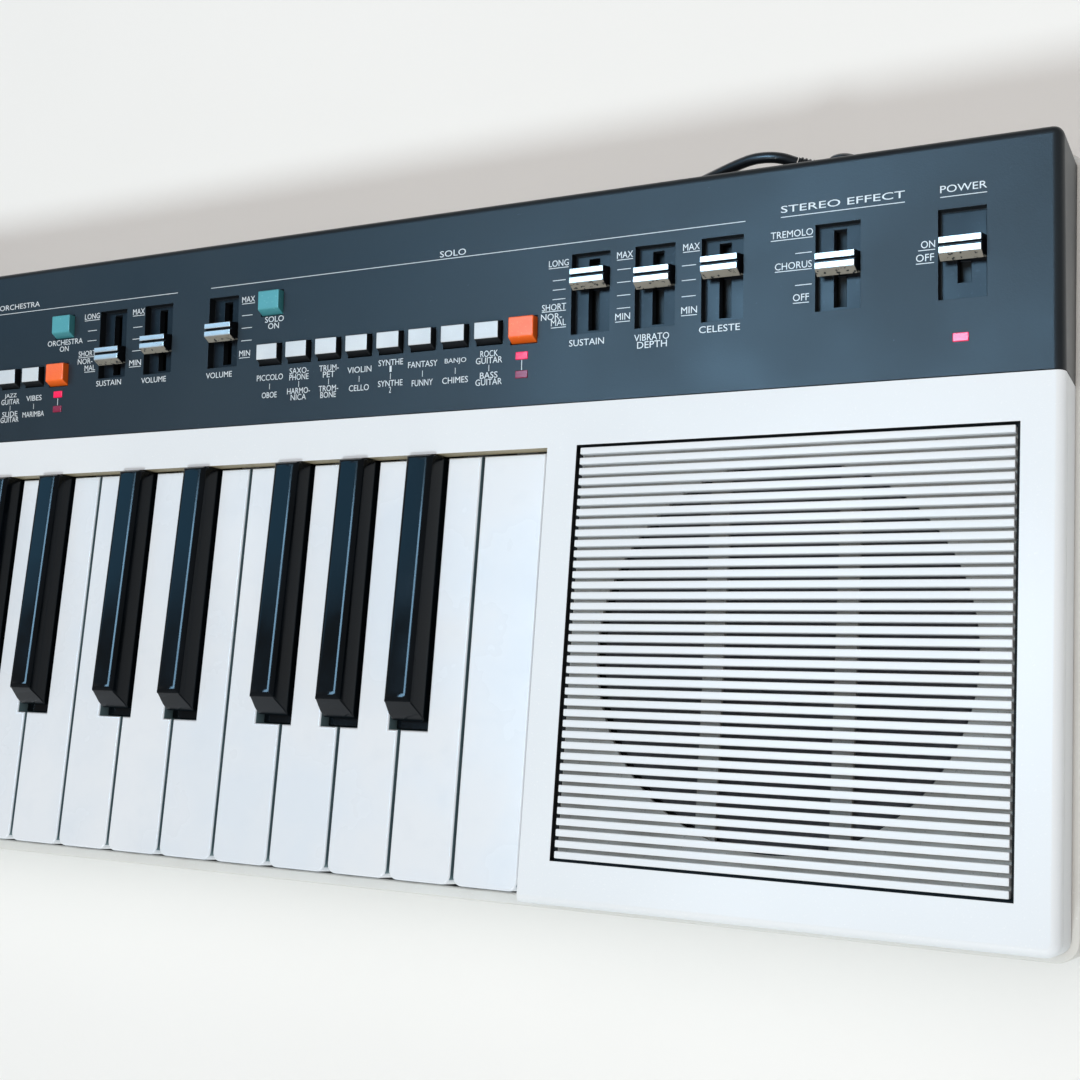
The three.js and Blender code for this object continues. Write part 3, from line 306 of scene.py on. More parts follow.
def soften(bm, radius, segments=2, chosen=None, angle=30):
    """Rounds the edges sharper than angle, or those of them that chosen says yes to."""
    bm.normal_update()
    shared = [edge for edge in bm.edges if len(edge.link_faces) == 2]
    sharp = [edge for edge in shared if edge.calc_face_angle(0) > math.radians(angle)]
    if chosen:
        sharp = [edge for edge in sharp if chosen(edge)]
    rounding = {"offset": radius, "segments": segments, "profile": 0.5, "clamp_overlap": True}
    bmesh.ops.bevel(bm, geom=sharp, affect="EDGES", **rounding)


def combine(base, tool, operation):
    """Joins or cuts one closed bmesh with another, and returns the result without coplanar edges."""
    objects = []
    for bm in (base, tool):
        bmesh.ops.recalc_face_normals(bm, faces=bm.faces)
        mesh = bpy.data.meshes.new("work")
        bm.to_mesh(mesh)
        bm.free()
        objects.append(linked("work", mesh))
    step = objects[0].modifiers.new("step", "BOOLEAN")
    step.operation = operation
    step.object = objects[1]
    step.solver = "EXACT"
    step.use_self = True
    graph = bpy.context.evaluated_depsgraph_get()
    made = bmesh.new()
    made.from_mesh(objects[0].evaluated_get(graph).to_mesh())
    for work in objects:
        mesh = work.data
        bpy.data.objects.remove(work)
        bpy.data.meshes.remove(mesh)
    bmesh.ops.remove_doubles(made, verts=made.verts, dist=0.002 * MM)
    bmesh.ops.dissolve_limit(made, angle_limit=math.radians(0.5), verts=made.verts, edges=made.edges)
    return made


def absorb(bm, *parts):
    """Adds finished closed parts to a bmesh, and frees them."""
    for part in parts:
        kept = bpy.data.meshes.new("work")
        part.to_mesh(kept)
        part.free()
        bm.from_mesh(kept)
        bpy.data.meshes.remove(kept)


def soft_block(x, y, z, radius, segments=2):
    """A block with all its edges rounded."""
    bm = bmesh.new()
    block(bm, x, y, z)
    soften(bm, radius, segments)
    return bm


def piece(name, bm, materials, body, replaced=()):
    """Links a finished bmesh as a piece that rides on a body, with flat faces kept flat in the shading."""
    bmesh.ops.recalc_face_normals(bm, faces=bm.faces)
    mesh = bpy.data.meshes.new(name)
    bm.to_mesh(mesh)
    bm.free()
    for finish in materials:
        mesh.materials.append(finish)
    mesh.shade_smooth()
    mesh.set_sharp_from_angle(angle=math.radians(CREASE_DEGREES))
    made = linked(name, mesh)
    made.modifiers.new("even_shading", "WEIGHTED_NORMAL").keep_sharp = True
    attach(made, body)
    if replaced:
        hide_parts(*replaced)
    return made


def inset_outline(inset, low=case_low, high=case_high, corner=CASE_CORNER):
    """A box's outline seen from above, moved in by an inset."""
    x = grown((low.x, high.x), -inset)
    y = grown((low.y, high.y), -inset)
    return outline(x, y, max(corner - inset, 0.8 * MM))


def lower_case():
    levels = []
    for a in QUARTER_TURN:
        levels.append((CASE_EDGE * (1 - math.sin(a)), FOOT_HEIGHT + CASE_EDGE * (1 - math.cos(a))))
    levels += [(0, CASE_TOP - 0.5 * MM), (0.15 * MM, CASE_TOP - 0.15 * MM), (0.5 * MM, CASE_TOP)]
    levels += [(CASE_WALL - 0.4 * MM, CASE_TOP), (CASE_WALL, CASE_TOP - 0.4 * MM), (CASE_WALL, FLOOR_TOP)]
    shell = bmesh.new()
    loft(shell, [raised(inset_outline(inset), z) for inset, z in levels])
    holes = bmesh.new()
    doorway = [grown((door_low[axis], door_high[axis]), DOOR_GAP) for axis in (0, 1)]
    block(holes, *doorway, (0, FLOOR_TOP + MM))
    for x, y in WELL_PLACES:
        ring = circle(x, y, WELL_RADIUS, 32)
        loft(holes, [raised(ring, FOOT_HEIGHT - MM), raised(ring, FOOT_HEIGHT + WELL_DEPTH)])
    shell = combine(shell, holes, "DIFFERENCE")
    ledge = bmesh.new()
    ledge_z = (FLOOR_TOP + 0.3 * MM, FLOOR_TOP + 2.3 * MM)
    block(ledge, *[grown(stretch, DOOR_LEDGE) for stretch in doorway], ledge_z)
    hatch = bmesh.new()
    block(hatch, *[grown(stretch, -DOOR_LEDGE) for stretch in doorway], (0, FLOOR_TOP + 9 * MM))
    absorb(shell, combine(ledge, hatch, "DIFFERENCE"))
    soften(shell, 0.4 * MM, 2, lambda edge: all(v.co.z < FOOT_HEIGHT + 0.1 * MM for v in edge.verts), 60)
    piece("lower_case_shell", shell, [grey_abs], "case", ("bottom_case",))


lower_case()


def rubber_feet():
    feet = bmesh.new()
    r = FOOT_RADIUS
    top = FOOT_HEIGHT + 0.1 * MM
    groove = [(r - 2.6 * MM, 0), (r - 2 * MM, 0.5 * MM), (r - 1.4 * MM, 0)]
    rim = [(r - 0.6 * MM, 0), (r, 0.6 * MM), (r, FOOT_HEIGHT - 0.4 * MM), (r + 0.6 * MM, top)]
    pad = [(0, 0)] + groove + rim + [(0, top)]
    for x, y in FOOT_PLACES:
        turned(feet, pad, 40, Matrix.Translation((x, y, 0)))
    piece("rubber_feet", feet, [foot_rubber], "case")


rubber_feet()


def blackened_steel():
    """Case-hardened screws, blackened: dark metal with a slight grain of 0.3 mm where the driver rubbed."""
    made, tree, shader, place = material("blackened_steel", Metallic=1.0)
    rub = node(tree, "ShaderNodeTexNoise", {"Vector": place, "Scale": per_mm(0.3), "Detail": 3.0})
    greys = {0: rub, 6: linear("#3B3C3E"), 7: linear("#5A5A5B")}
    gloss = {"Value": rub, "From Min": 0.3, "From Max": 0.7, "To Min": 0.3, "To Max": 0.5}
    surface = {
        "Base Color": node(tree, "ShaderNodeMix", greys, 2, data_type="RGBA"),
        "Roughness": node(tree, "ShaderNodeMapRange", gloss),
    }
    connect(tree, shader, surface)
    return made


def case_screws():
    head = bmesh.new()
    top = FOOT_HEIGHT + 0.5 * MM
    r = SCREW_RADIUS
    profile = [(0, top), (r * 0.5, top + 0.1 * MM), (r * 0.86, top + 0.5 * MM), (r, top + 1.1 * MM)]
    profile += [(r, FOOT_HEIGHT + WELL_DEPTH), (0, FOOT_HEIGHT + WELL_DEPTH)]
    turned(head, profile, 32, Matrix.Identity(4))
    cross = bmesh.new()
    arm = around(0, 1.8 * MM)
    blade = around(0, 0.42 * MM)
    block(cross, arm, blade, (0, top + 1.2 * MM))
    block(cross, blade, arm, (0, top + 1.2 * MM))
    head = combine(head, cross, "DIFFERENCE")
    one = bpy.data.meshes.new("work")
    head.to_mesh(one)
    head.free()
    screws = bmesh.new()
    for i, (x, y) in enumerate(WELL_PLACES):
        start = len(screws.verts)
        screws.from_mesh(one)
        screws.verts.ensure_lookup_table()
        place = Matrix.Translation((x, y, 0)) @ Matrix.Rotation(0.7 * i, 4, "Z")
        bmesh.ops.transform(screws, matrix=place, verts=screws.verts[start:])
    bpy.data.meshes.remove(one)
    piece("case_screws", screws, [blackened_steel()], "case")


case_screws()

# ---- Battery door ----
# A lid of the same ABS, dropped into an opening in the case's floor. Seven raised ribs near its right-hand
# end give the thumb a grip.

GRIP_RIBS = 7
GRIP_RIB_PITCH = 2.4


def battery_door():
    door = bmesh.new()
    z = (door_low.z + 0.05 * MM, door_high.z)
    block(door, (door_low.x, door_high.x), (door_low.y, door_high.y), z)
    soften(door, 0.4 * MM, 2)
    rib_z = (z[0] - 0.5 * MM, z[0] + 0.6 * MM)
    for i in range(GRIP_RIBS):
        x = door_high.x - (10 + GRIP_RIB_PITCH * i) * MM
        absorb(door, soft_block(around(x, 0.5 * MM), around(0, 11 * MM), rib_z, 0.25 * MM))
    piece("battery_lid", door, [grey_abs], "case", ("battery_door",))


battery_door()

# ---- Key frame ----
# A folded chassis of zinc-plated steel sheet on two rails. The keys' arms turn on its shelf, and a strip
# of felt along its front stops the keys at the bottom of their travel.


def zinc_plated_steel():
    """Zinc plating shows as a pale grey metal with a spangle of some millimetres."""
    made, tree, shader, place = material("zinc_plated_steel", Metallic=1.0)
    spangle = node(tree, "ShaderNodeTexVoronoi", {"Vector": place, "Scale": per_mm(7)}, "Color")
    tone = node(tree, "ShaderNodeRGBToBW", {"Color": spangle})
    share = node(tree, "ShaderNodeMapRange", {"Value": tone, "From Min": 0.2, "From Max": 0.8})
    greys = {0: share, 6: linear("#A3A8AD"), 7: linear("#B9BDC1")}
    gloss = {"Value": tone, "From Min": 0.2, "From Max": 0.8, "To Min": 0.36, "To Max": 0.5}
    surface = {
        "Base Color": node(tree, "ShaderNodeMix", greys, 2, data_type="RGBA"),
        "Roughness": node(tree, "ShaderNodeMapRange", gloss),
    }
    connect(tree, shader, surface)
    return made


def pressed_felt():
    """Wool felt: very rough, with fibres that show as a 0.5 mm fleck."""
    made, tree, shader, place = material("pressed_felt", Roughness=0.95, Sheen_Weight=0.4)
    fibre = node(tree, "ShaderNodeTexNoise", {"Vector": place, "Scale": per_mm(0.5), "Detail": 4.0})
    reds = {0: fibre, 6: linear("#3A1518"), 7: linear("#6B2A2E")}
    surface = {
        "Base Color": node(tree, "ShaderNodeMix", reds, 2, data_type="RGBA"),
        "Normal": node(tree, "ShaderNodeBump", {"Height": fibre, "Distance": 0.15 * MM}),
    }
    connect(tree, shader, surface)
    return made


def finish_node(name, finish):
    """Gives a CAD node that is shown as it is its material."""
    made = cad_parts[name]
    made.data.materials.clear()
    made.data.materials.append(finish)


finish_node("key_frame", zinc_plated_steel())


def key_felt():
    low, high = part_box("key_frame")
    plate_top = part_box("lower_white_keys")[1].z - 29 * MM
    strip_y = (low.y + 4 * MM, low.y + 14 * MM)
    felt = soft_block((low.x, high.x), strip_y, (plate_top, plate_top + 2 * MM), 0.5 * MM)
    piece("key_felt", felt, [pressed_felt()], "case")


key_felt()

# ---- White keys ----
# Hollow mouldings of white styrene resin with polished tops, 23.5 mm from one to the next. The rear of each
# runs between the black keys and ends in an arm that turns on the frame. The lowest nineteen are one comb.

KEY_PITCH = 23.5 * MM
KEY_GAP = 1 * MM
WHITE_KEYS = 29
COMB_KEYS = 19
comb_low, comb_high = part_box("lower_white_keys")
KEYS_LEFT = comb_low.x - KEY_GAP / 2
KEYS_RIGHT = KEYS_LEFT + WHITE_KEYS * KEY_PITCH
KEY_FRONT = comb_low.y
KEY_REAR = KEY_FRONT + 134.8 * MM
KEY_TOP = comb_high.z
KEY_DEPTH = 16 * MM
KEY_WALL = 1.6 * MM
KEY_CORNER = 3 * MM
PIVOT_Y = KEY_FRONT + 168 * MM
ARM_TOP = KEY_TOP - 8 * MM
ARM_BOTTOM = KEY_TOP - 15 * MM
ARM_WIDTH = 8 * MM
NOTCH_FRONT = KEY_FRONT + 46.5 * MM
NOTCH_WIDTH = 14.5 * MM
SHARP_SHIFTS = {"c": -3.3 * MM, "d": 3.3 * MM, "f": -3.3 * MM, "g": 0.0, "a": 3.3 * MM}
LETTERS = "cdefgab"
NEARLY = 0.01 * MM


def letter(i):
    return LETTERS[i % 7]


def octave(i):
    return 2 + i // 7


def has_sharp(i):
    return 0 <= i < WHITE_KEYS - 1 and letter(i) in SHARP_SHIFTS


def sharp_x(i):
    return KEYS_LEFT + (i + 1) * KEY_PITCH + SHARP_SHIFTS[letter(i)]


def polished_white_resin():
    """Styrene polished in the mould: a clear, slightly bluish white gloss, dulled by hands in soft
    smears of some centimetres, with hair scratches too fine to show as more than uneven gloss."""
    sockets = {"IOR": 1.55, "Specular_IOR_Level": 0.3}
    made, tree, shader, place = material("polished_white_resin", **sockets)
    hands = node(tree, "ShaderNodeTexNoise", {"Vector": place, "Scale": per_mm(34), "Detail": 4.0})
    smear = node(tree, "ShaderNodeMapRange", {"Value": hands, "From Min": 0.38, "From Max": 0.66})
    clean = {0: smear, 6: linear("#E4E8EC"), 7: linear("#DCE2E8")}
    colour = node(tree, "ShaderNodeMix", clean, 2, data_type="RGBA")
    patches = node(tree, "ShaderNodeTexNoise", {"Vector": place, "Scale": per_mm(9), "Detail": 5.0})
    rubbing = {"Value": patches, "From Min": 0.55, "From Max": 0.85, "To Max": 0.3}
    rubbed = {0: node(tree, "ShaderNodeMapRange", rubbing), 6: colour, 7: linear("#D3DAE1")}
    wave = node(tree, "ShaderNodeTexNoise", {"Vector": place, "Scale": per_mm(14)})
    surface = {
        "Base Color": node(tree, "ShaderNodeMix", rubbed, 2, data_type="RGBA"),
        "Roughness": node(tree, "ShaderNodeMapRange", {"Value": smear, "To Min": 0.2, "To Max": 0.34}),
        "Normal": node(tree, "ShaderNodeBump", {"Height": wave, "Distance": 0.02 * MM}),
    }
    connect(tree, shader, surface)
    return made


white_resin = polished_white_resin()
# The keys' sides are a flat blue-grey, darker than the tops: painted shade for the narrow gaps between the
# keys.
key_side_shade_resin = moulded("white_key_side_painted_shade", ("#7C959B", "#6C868D", "#93A6AA"), 0.5, 2.0, 0.004, 20)


def white_key_sides(i):
    """The sides of a white key at its front, and between the black keys at its rear."""
    x0 = KEYS_LEFT + i * KEY_PITCH + KEY_GAP / 2
    x1 = x0 + KEY_PITCH - KEY_GAP
    r0 = sharp_x(i - 1) + NOTCH_WIDTH / 2 if has_sharp(i - 1) else x0
    r1 = sharp_x(i) - NOTCH_WIDTH / 2 if has_sharp(i) else x1
    return x0, x1, r0, r1


def white_key_outline(i, inset=0.0):
    x0, x1, r0, r1 = white_key_sides(i)
    notched = (r0 > x0, r1 < x1)
    x0, x1, r0, r1 = x0 + inset, x1 - inset, r0 + inset, r1 - inset
    front, notch, rear = KEY_FRONT + inset, NOTCH_FRONT - inset, KEY_REAR - inset
    r = KEY_CORNER - inset
    points = [(x0 + r - r * math.cos(a), front + r - r * math.sin(a)) for a in QUARTER_TURN]
    points += [(x1 - r + r * math.sin(a), front + r - r * math.cos(a)) for a in QUARTER_TURN]
    if notched[1]:
        points += [(x1, notch), (r1, notch)]
    points += [(r1, rear), (r0, rear)]
    if notched[0]:
        points += [(r0, notch), (x0, notch)]
    return points


def white_key(bm, i):
    key = bmesh.new()
    outer = white_key_outline(i)
    inner = white_key_outline(i, KEY_WALL)
    bottom = KEY_TOP - KEY_DEPTH
    hollow = [raised(inner, KEY_TOP - 2 * KEY_WALL), raised(inner, bottom)]
    loft(key, hollow + [raised(outer, bottom), raised(outer, KEY_TOP)])
    bmesh.ops.recalc_face_normals(key, faces=key.faces)
    soften(key, 0.75 * MM, 4, lambda edge: all(v.co.z > KEY_TOP - NEARLY for v in edge.verts))
    soften(key, 0.2 * MM, 1, lambda edge: all(abs(v.co.z - KEY_TOP + KEY_DEPTH) < NEARLY for v in edge.verts))
    key.normal_update()
    # The sides and the faces turned to the rear take the blue-grey: painted shade between the keys.
    for face in key.faces:
        face.material_index = 1 if abs(face.normal.x) > 0.9 or face.normal.y > 0.9 else 0
    r0, r1 = white_key_sides(i)[2:]
    arm_y = (KEY_REAR - KEY_WALL, PIVOT_Y + 2 * MM)
    arm = soft_block(around((r0 + r1) / 2, ARM_WIDTH / 2), arm_y, (ARM_BOTTOM, ARM_TOP), 0.6 * MM)
    absorb(bm, key, arm)


def white_keys():
    comb = bmesh.new()
    for i in range(COMB_KEYS):
        white_key(comb, i)
    ends = (white_key_sides(0)[2], white_key_sides(COMB_KEYS - 1)[3])
    block(comb, ends, (PIVOT_Y + 1.5 * MM, PIVOT_Y + 7 * MM), (ARM_BOTTOM, ARM_TOP))
    finishes = [white_resin, key_side_shade_resin]
    piece("lower_white_comb", comb, finishes, "lower_white_keys", ("lower_white_keys",))
    for i in range(COMB_KEYS, WHITE_KEYS):
        name = f"white_key_{letter(i)}{octave(i)}"
        key = bmesh.new()
        white_key(key, i)
        piece(name + "_moulding", key, finishes, name, (name,))


white_keys()

# ---- Black keys ----
# Solid-looking caps of black resin, polished all over: an upright foot, sides that lean in to a narrow flat
# top, and a front that slopes down to the white keys.

SHARP_FRONT = KEY_FRONT + 49.5 * MM
SHARP_LEAN = 6.2 * MM
SHARP_RISE = (8.5 * MM, 7.2 * MM)
SHARP_HALF = (6.15 * MM, 4.6 * MM)
SHARP_FOOT = 2.4 * MM
SHARP_DEPTH = 12 * MM
SKIRT_DROP = 4 * MM


def polished_black_resin():
    """Black resin with a mirror polish, under a film of fine dust that shows as a grey haze."""
    sockets = {"IOR": 1.55, "Specular_IOR_Level": 0.22}
    made, tree, shader, place = material("polished_black_resin", **sockets)
    specks = node(tree, "ShaderNodeTexNoise", {"Vector": place, "Scale": per_mm(1.1), "Detail": 5.0})
    dust = node(tree, "ShaderNodeMapRange", {"Value": specks, "From Min": 0.66, "From Max": 0.8})
    hands = node(tree, "ShaderNodeTexNoise", {"Vector": place, "Scale": per_mm(22), "Detail": 3.0})
    film = node(tree, "ShaderNodeMapRange", {"Value": hands, "From Min": 0.35, "From Max": 0.7})
    blacks = {0: film, 6: linear("#04070A"), 7: linear("#070C11")}
    dusted = {0: dust, 6: node(tree, "ShaderNodeMix", blacks, 2, data_type="RGBA"), 7: linear("#10171D")}
    wave = node(tree, "ShaderNodeTexNoise", {"Vector": place, "Scale": per_mm(11)})
    surface = {
        "Base Color": node(tree, "ShaderNodeMix", dusted, 2, data_type="RGBA"),
        "Roughness": node(tree, "ShaderNodeMapRange", {"Value": film, "To Min": 0.1, "To Max": 0.2}),
        "Normal": node(tree, "ShaderNodeBump", {"Height": wave, "Distance": 0.015 * MM}),
    }
    connect(tree, shader, surface)
    return made


black_resin = polished_black_resin()


def black_key(bm, i):
    x = sharp_x(i)
    foot_y = SHARP_FRONT + SHARP_LEAN * SHARP_FOOT / SHARP_RISE[0]
    wide, narrow = SHARP_HALF
    levels = [
        (wide, SHARP_FRONT, KEY_TOP - SHARP_DEPTH, KEY_TOP - SHARP_DEPTH),
        (wide, SHARP_FRONT, KEY_TOP, KEY_TOP),
        (wide, foot_y, KEY_TOP + SHARP_FOOT, KEY_TOP + SHARP_FOOT),
        (narrow, SHARP_FRONT + SHARP_LEAN, KEY_TOP + SHARP_RISE[0], KEY_TOP + SHARP_RISE[1]),
    ]
    rings = [
        [(x - half, front, z0), (x + half, front, z0), (x + half, KEY_REAR, z1), (x - half, KEY_REAR, z1)]
        for half, front, z0, z1 in levels
    ]
    key = bmesh.new()
    loft(key, rings)
    bmesh.ops.recalc_face_normals(key, faces=key.faces)
    soften(key, 1.9 * MM, 8, lambda edge: all(v.co.z > KEY_TOP + SHARP_FOOT + MM for v in edge.verts))

    def at_foot(edge):
        heights = [v.co.z for v in edge.verts]
        return max(heights) > KEY_TOP - MM and min(heights) < KEY_TOP + 3 * MM

    soften(key, 0.5 * MM, 3, at_foot, 20)
    # A black block fills the notch under and in front of the key, 4 mm below the white keys' tops: painted
    # shade for the deep notch.
    skirt_x = grown(around(x, NOTCH_WIDTH / 2), -0.45 * MM)
    skirt_y = (NOTCH_FRONT + 0.4 * MM, KEY_REAR)
    skirt = soft_block(skirt_x, skirt_y, (KEY_TOP - SHARP_DEPTH, KEY_TOP - SKIRT_DROP), 0.3 * MM)
    arm_y = (KEY_REAR - 2 * KEY_WALL, PIVOT_Y + 2 * MM)
    arm = soft_block(around(x, ARM_WIDTH / 2), arm_y, (ARM_BOTTOM, ARM_TOP), 0.6 * MM)
    absorb(bm, key, skirt, arm)


def black_keys():
    sharps = [i for i in range(WHITE_KEYS) if has_sharp(i)]
    joined = [i for i in sharps if i < COMB_KEYS - 1]
    comb = bmesh.new()
    for i in joined:
        black_key(comb, i)
    rail_x = (sharp_x(joined[0]) - ARM_WIDTH / 2, sharp_x(joined[-1]) + ARM_WIDTH / 2)
    rail_y = around(PIVOT_Y, 2 * MM)
    block(comb, rail_x, rail_y, (ARM_TOP + 0.4 * MM, ARM_TOP + 3.4 * MM))
    for i in joined:
        block(comb, around(sharp_x(i), ARM_WIDTH / 2), rail_y, around(ARM_TOP, MM))
    piece("lower_black_comb", comb, [black_resin], "lower_black_keys", ("lower_black_keys",))
    for i in sharps[len(joined) :]:
        name = f"black_key_{letter(i)}_sharp_{octave(i)}"
        key = bmesh.new()
        black_key(key, i)
        piece(name + "_moulding", key, [black_resin], name, (name,))


black_keys()

# ---- Top cover ----
# One white ABS moulding with a satin face: a box over each loudspeaker, joined behind the keys by a narrow
# strip whose lip hides the keys' rear ends. Its edges are rolled over, above a shadow groove all round.

cover_low, cover_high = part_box("top_cover")
COVER_TOP = cover_high.z
COVER_BOTTOM = cover_low.z
COVER_WALL = 2.6 * MM
COVER_LIP = 2.2 * MM
COVER_EDGE = 2.6 * MM
LIP_DEPTH = 4.8 * MM
GROOVE_DROP = 4.2 * MM
GROOVE_INSET = 0.45 * MM
OPENING_HALF = KEYS_RIGHT + 1.9 * MM
OPENING_REAR = KEY_REAR + 0.5 * MM
WINDOW_X = (KEYS_RIGHT + 12.1 * MM, KEYS_RIGHT + 144 * MM)
WINDOW_Y = (KEY_FRONT + 10.3 * MM, KEY_FRONT + 135.7 * MM)
FAR = 60 * MM

# A satin white face, flat black on the walls inside the windows as painted shade, and a darker beige on the
# strip's front.
white_colours = ("#E6E8E9", "#E1E4E6", "#ECEDED")
white_abs = moulded("satin_white_abs", white_colours, 0.42, 0.6, 0.006, 110, specular=0.3)
window_shade_black = moulded("window_wall_painted_shade", ("#0B0C0D", "#0F1011", "#141516"), 0.7, 0.5, 0.004, 30)
lip_front_beige_abs = moulded("darker_beige_white_abs", ("#A89B7E", "#998C70", "#B5AA90"), 0.55, 0.6, 0.006, 40)


def mirrored(x, side):
    """A stretch on the right, or its mirror image on the left where side is -1."""
    return x if side > 0 else (-x[1], -x[0])


def top_cover():
    groove_top = COVER_TOP - GROOVE_DROP
    levels = [(0, COVER_BOTTOM - MM), (0, groove_top - 0.6 * MM)]
    levels += [(GROOVE_INSET, groove_top - 0.45 * MM), (GROOVE_INSET, groove_top - 0.1 * MM), (0, groove_top)]
    for a in QUARTER_TURN:
        levels.append((COVER_EDGE * (1 - math.cos(a)), COVER_TOP - COVER_EDGE * (1 - math.sin(a))))
    high = Vector((cover_high.x, cover_high.y + FAR, 0))
    shell = bmesh.new()
    loft(shell, [raised(inset_outline(inset, cover_low, high, 4 * MM), z) for inset, z in levels])
    wide = grown((cover_low.x, cover_high.x), FAR)
    under = COVER_BOTTOM - FAR
    over = COVER_TOP + FAR
    ceiling = COVER_TOP - COVER_WALL
    opening = around(0, OPENING_HALF)
    cuts = bmesh.new()
    block(cuts, wide, (cover_low.y - FAR, cover_high.y + 2 * FAR), (under, COVER_BOTTOM))
    block(cuts, wide, (cover_high.y, cover_high.y + 2 * FAR), (under, over))
    block(cuts, opening, (cover_low.y - FAR, OPENING_REAR), (under, over))
    block(cuts, opening, (OPENING_REAR - MM, cover_high.y + FAR), (under, COVER_TOP - LIP_DEPTH))
    wall_x = OPENING_HALF + COVER_LIP
    block(cuts, around(0, wall_x + MM), (OPENING_REAR + COVER_LIP, cover_high.y + FAR), (under, ceiling))
    for side in (-1, 1):
        end_x = mirrored((wall_x, cover_high.x - COVER_WALL), side)
        block(cuts, end_x, (cover_low.y + COVER_WALL, cover_high.y + FAR), (under, ceiling))
        block(cuts, mirrored(WINDOW_X, side), WINDOW_Y, (ceiling - FAR, over))
    shell = combine(shell, cuts, "DIFFERENCE")

    def on_top_rim(edge):
        flat = all(abs(v.co.z - COVER_TOP) < NEARLY for v in edge.verts)
        return flat and all(v.co.y < cover_high.y - 0.1 * MM for v in edge.verts)

    soften(shell, 0.45 * MM, 3, on_top_rim, 60)
    shell.normal_update()
    window_x, window_y = grown(WINDOW_X, MM), grown(WINDOW_Y, MM)
    for face in shell.faces:
        centre = face.calc_center_median()
        # The front face of the lip behind the keys takes a darker beige.
        face.material_index = 1 if face.normal.y < -0.9 and abs(centre.y - OPENING_REAR) < 0.1 * MM else 0
        # Faces inside the windows below the top take flat black: painted shade on the window walls.
        in_window = window_x[0] < abs(centre.x) < window_x[1] and window_y[0] < centre.y < window_y[1]
        if in_window and centre.z < COVER_TOP - 0.5 * MM:
            face.material_index = 2
    finishes = [white_abs, lip_front_beige_abs, window_shade_black]
    piece("top_cover_shell", shell, finishes, "case", ("top_cover",))


top_cover()

# ---- Loudspeakers ----
# A drawn steel basket holds a pulp cone with a rolled cloth surround and a dust cap. Over it sits the white
# grille: bars across a plate with a round opening, which two ribs stiffen from below.

BAR_COUNT = 39
BAR_PITCH = 3.2 * MM
BAR_WIDTH = 2.12 * MM
BAR_END_GAP = 1.2 * MM
BAR_DROP = 0.2 * MM
PLATE_THICKNESS = 1.5 * MM
OPEN_RADIUS = 56 * MM
RIB_OFFSET = 19.5 * MM
RIB_HALF = 3.15 * MM
RIB_DEPTH = 1.5 * MM
GRILLE_FLANGE = 3 * MM
GRILLE_TOP = COVER_TOP - COVER_WALL - 0.3 * MM


def pressed_paper_pulp():
    """Pressed paper pulp: dark grey, matt, with fibres of about 1 mm."""
    made, tree, shader, place = material("pressed_paper_pulp", Roughness=0.85)
    fibre = node(tree, "ShaderNodeTexNoise", {"Vector": place, "Scale": per_mm(1.0), "Detail": 5.0})
    greys = {0: fibre, 6: linear("#5B5D63"), 7: linear("#7A7C82")}
    surface = {
        "Base Color": node(tree, "ShaderNodeMix", greys, 2, data_type="RGBA"),
        "Normal": node(tree, "ShaderNodeBump", {"Height": fibre, "Distance": 0.08 * MM}),
    }
    connect(tree, shader, surface)
    return made


paper = pressed_paper_pulp()
# Enamel with a low gloss on the basket, a grey-brown on the plate below the bars that is painted shade, and a
# dead black in the gap round the bars that is painted shade too.
basket_steel = moulded("black_enamelled_steel", ("#101113", "#15161A", "#1D1E20"), 0.4, 1.2, 0.01)
plate_shade_abs = moulded("grille_plate_painted_shade", ("#A3A199", "#8E8B82", "#6B675E"), 0.6, 0.8, 0.02, 16)
gap_shade_black = moulded("gap_painted_shade_black", ("#0A0B0C", "#0E0F10", "#17181A"), 0.9, 0.4, 0.05, 12)


def loudspeaker(word):
    low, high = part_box(f"speaker_driver_{word}")
    r = (high.x - low.x) / 2
    depth = low.z - high.z
    place = Matrix.Translation(((low.x + high.x) / 2, (low.y + high.y) / 2, high.z))
    basket = bmesh.new()
    shell = [(28, 0), (30, 1.6), (30, 17.5), (32, 18.4), (52, 36), (r / MM, 38.6), (r / MM, 42)]
    profile = [(0, depth)] + [(radius * MM, depth + rise * MM) for radius, rise in shell]
    profile += [(r - 3 * MM, 0), (r - 4 * MM, -1.2 * MM), (r - 8 * MM, -6.5 * MM), (0, -20 * MM)]
    turned(basket, profile, 72, place)
    replaced = (f"speaker_driver_{word}",)
    piece(f"speaker_basket_{word}", basket, [basket_steel], "case", replaced)
    cone = bmesh.new()
    under = [(0, -17 * MM), (15 * MM, -16.5 * MM), (r - 9 * MM, -5 * MM), (r - 3.4 * MM, -2 * MM)]
    under.append((r - 3.2 * MM, -1 * MM))
    roll_turns = [math.radians(20 * i) for i in range(10)]
    roll = [(r - 4 * MM - 3 * MM * (1 - math.cos(a)), -0.9 * MM + 0.8 * MM * math.sin(a)) for a in roll_turns]
    slope = [(r - 11 * MM - i * 2 * MM, -1.6 * MM - i * 0.75 * MM + 0.2 * MM * (i % 2)) for i in range(17)]
    cap = [(13.5 * MM * math.cos(a), -14 * MM + 5 * MM * math.sin(a)) for a in QUARTER_TURN[:-1]]
    turned(cone, under + roll + slope + cap + [(0, -9 * MM)], 72, place)
    piece(f"speaker_cone_{word}", cone, [paper], "case")


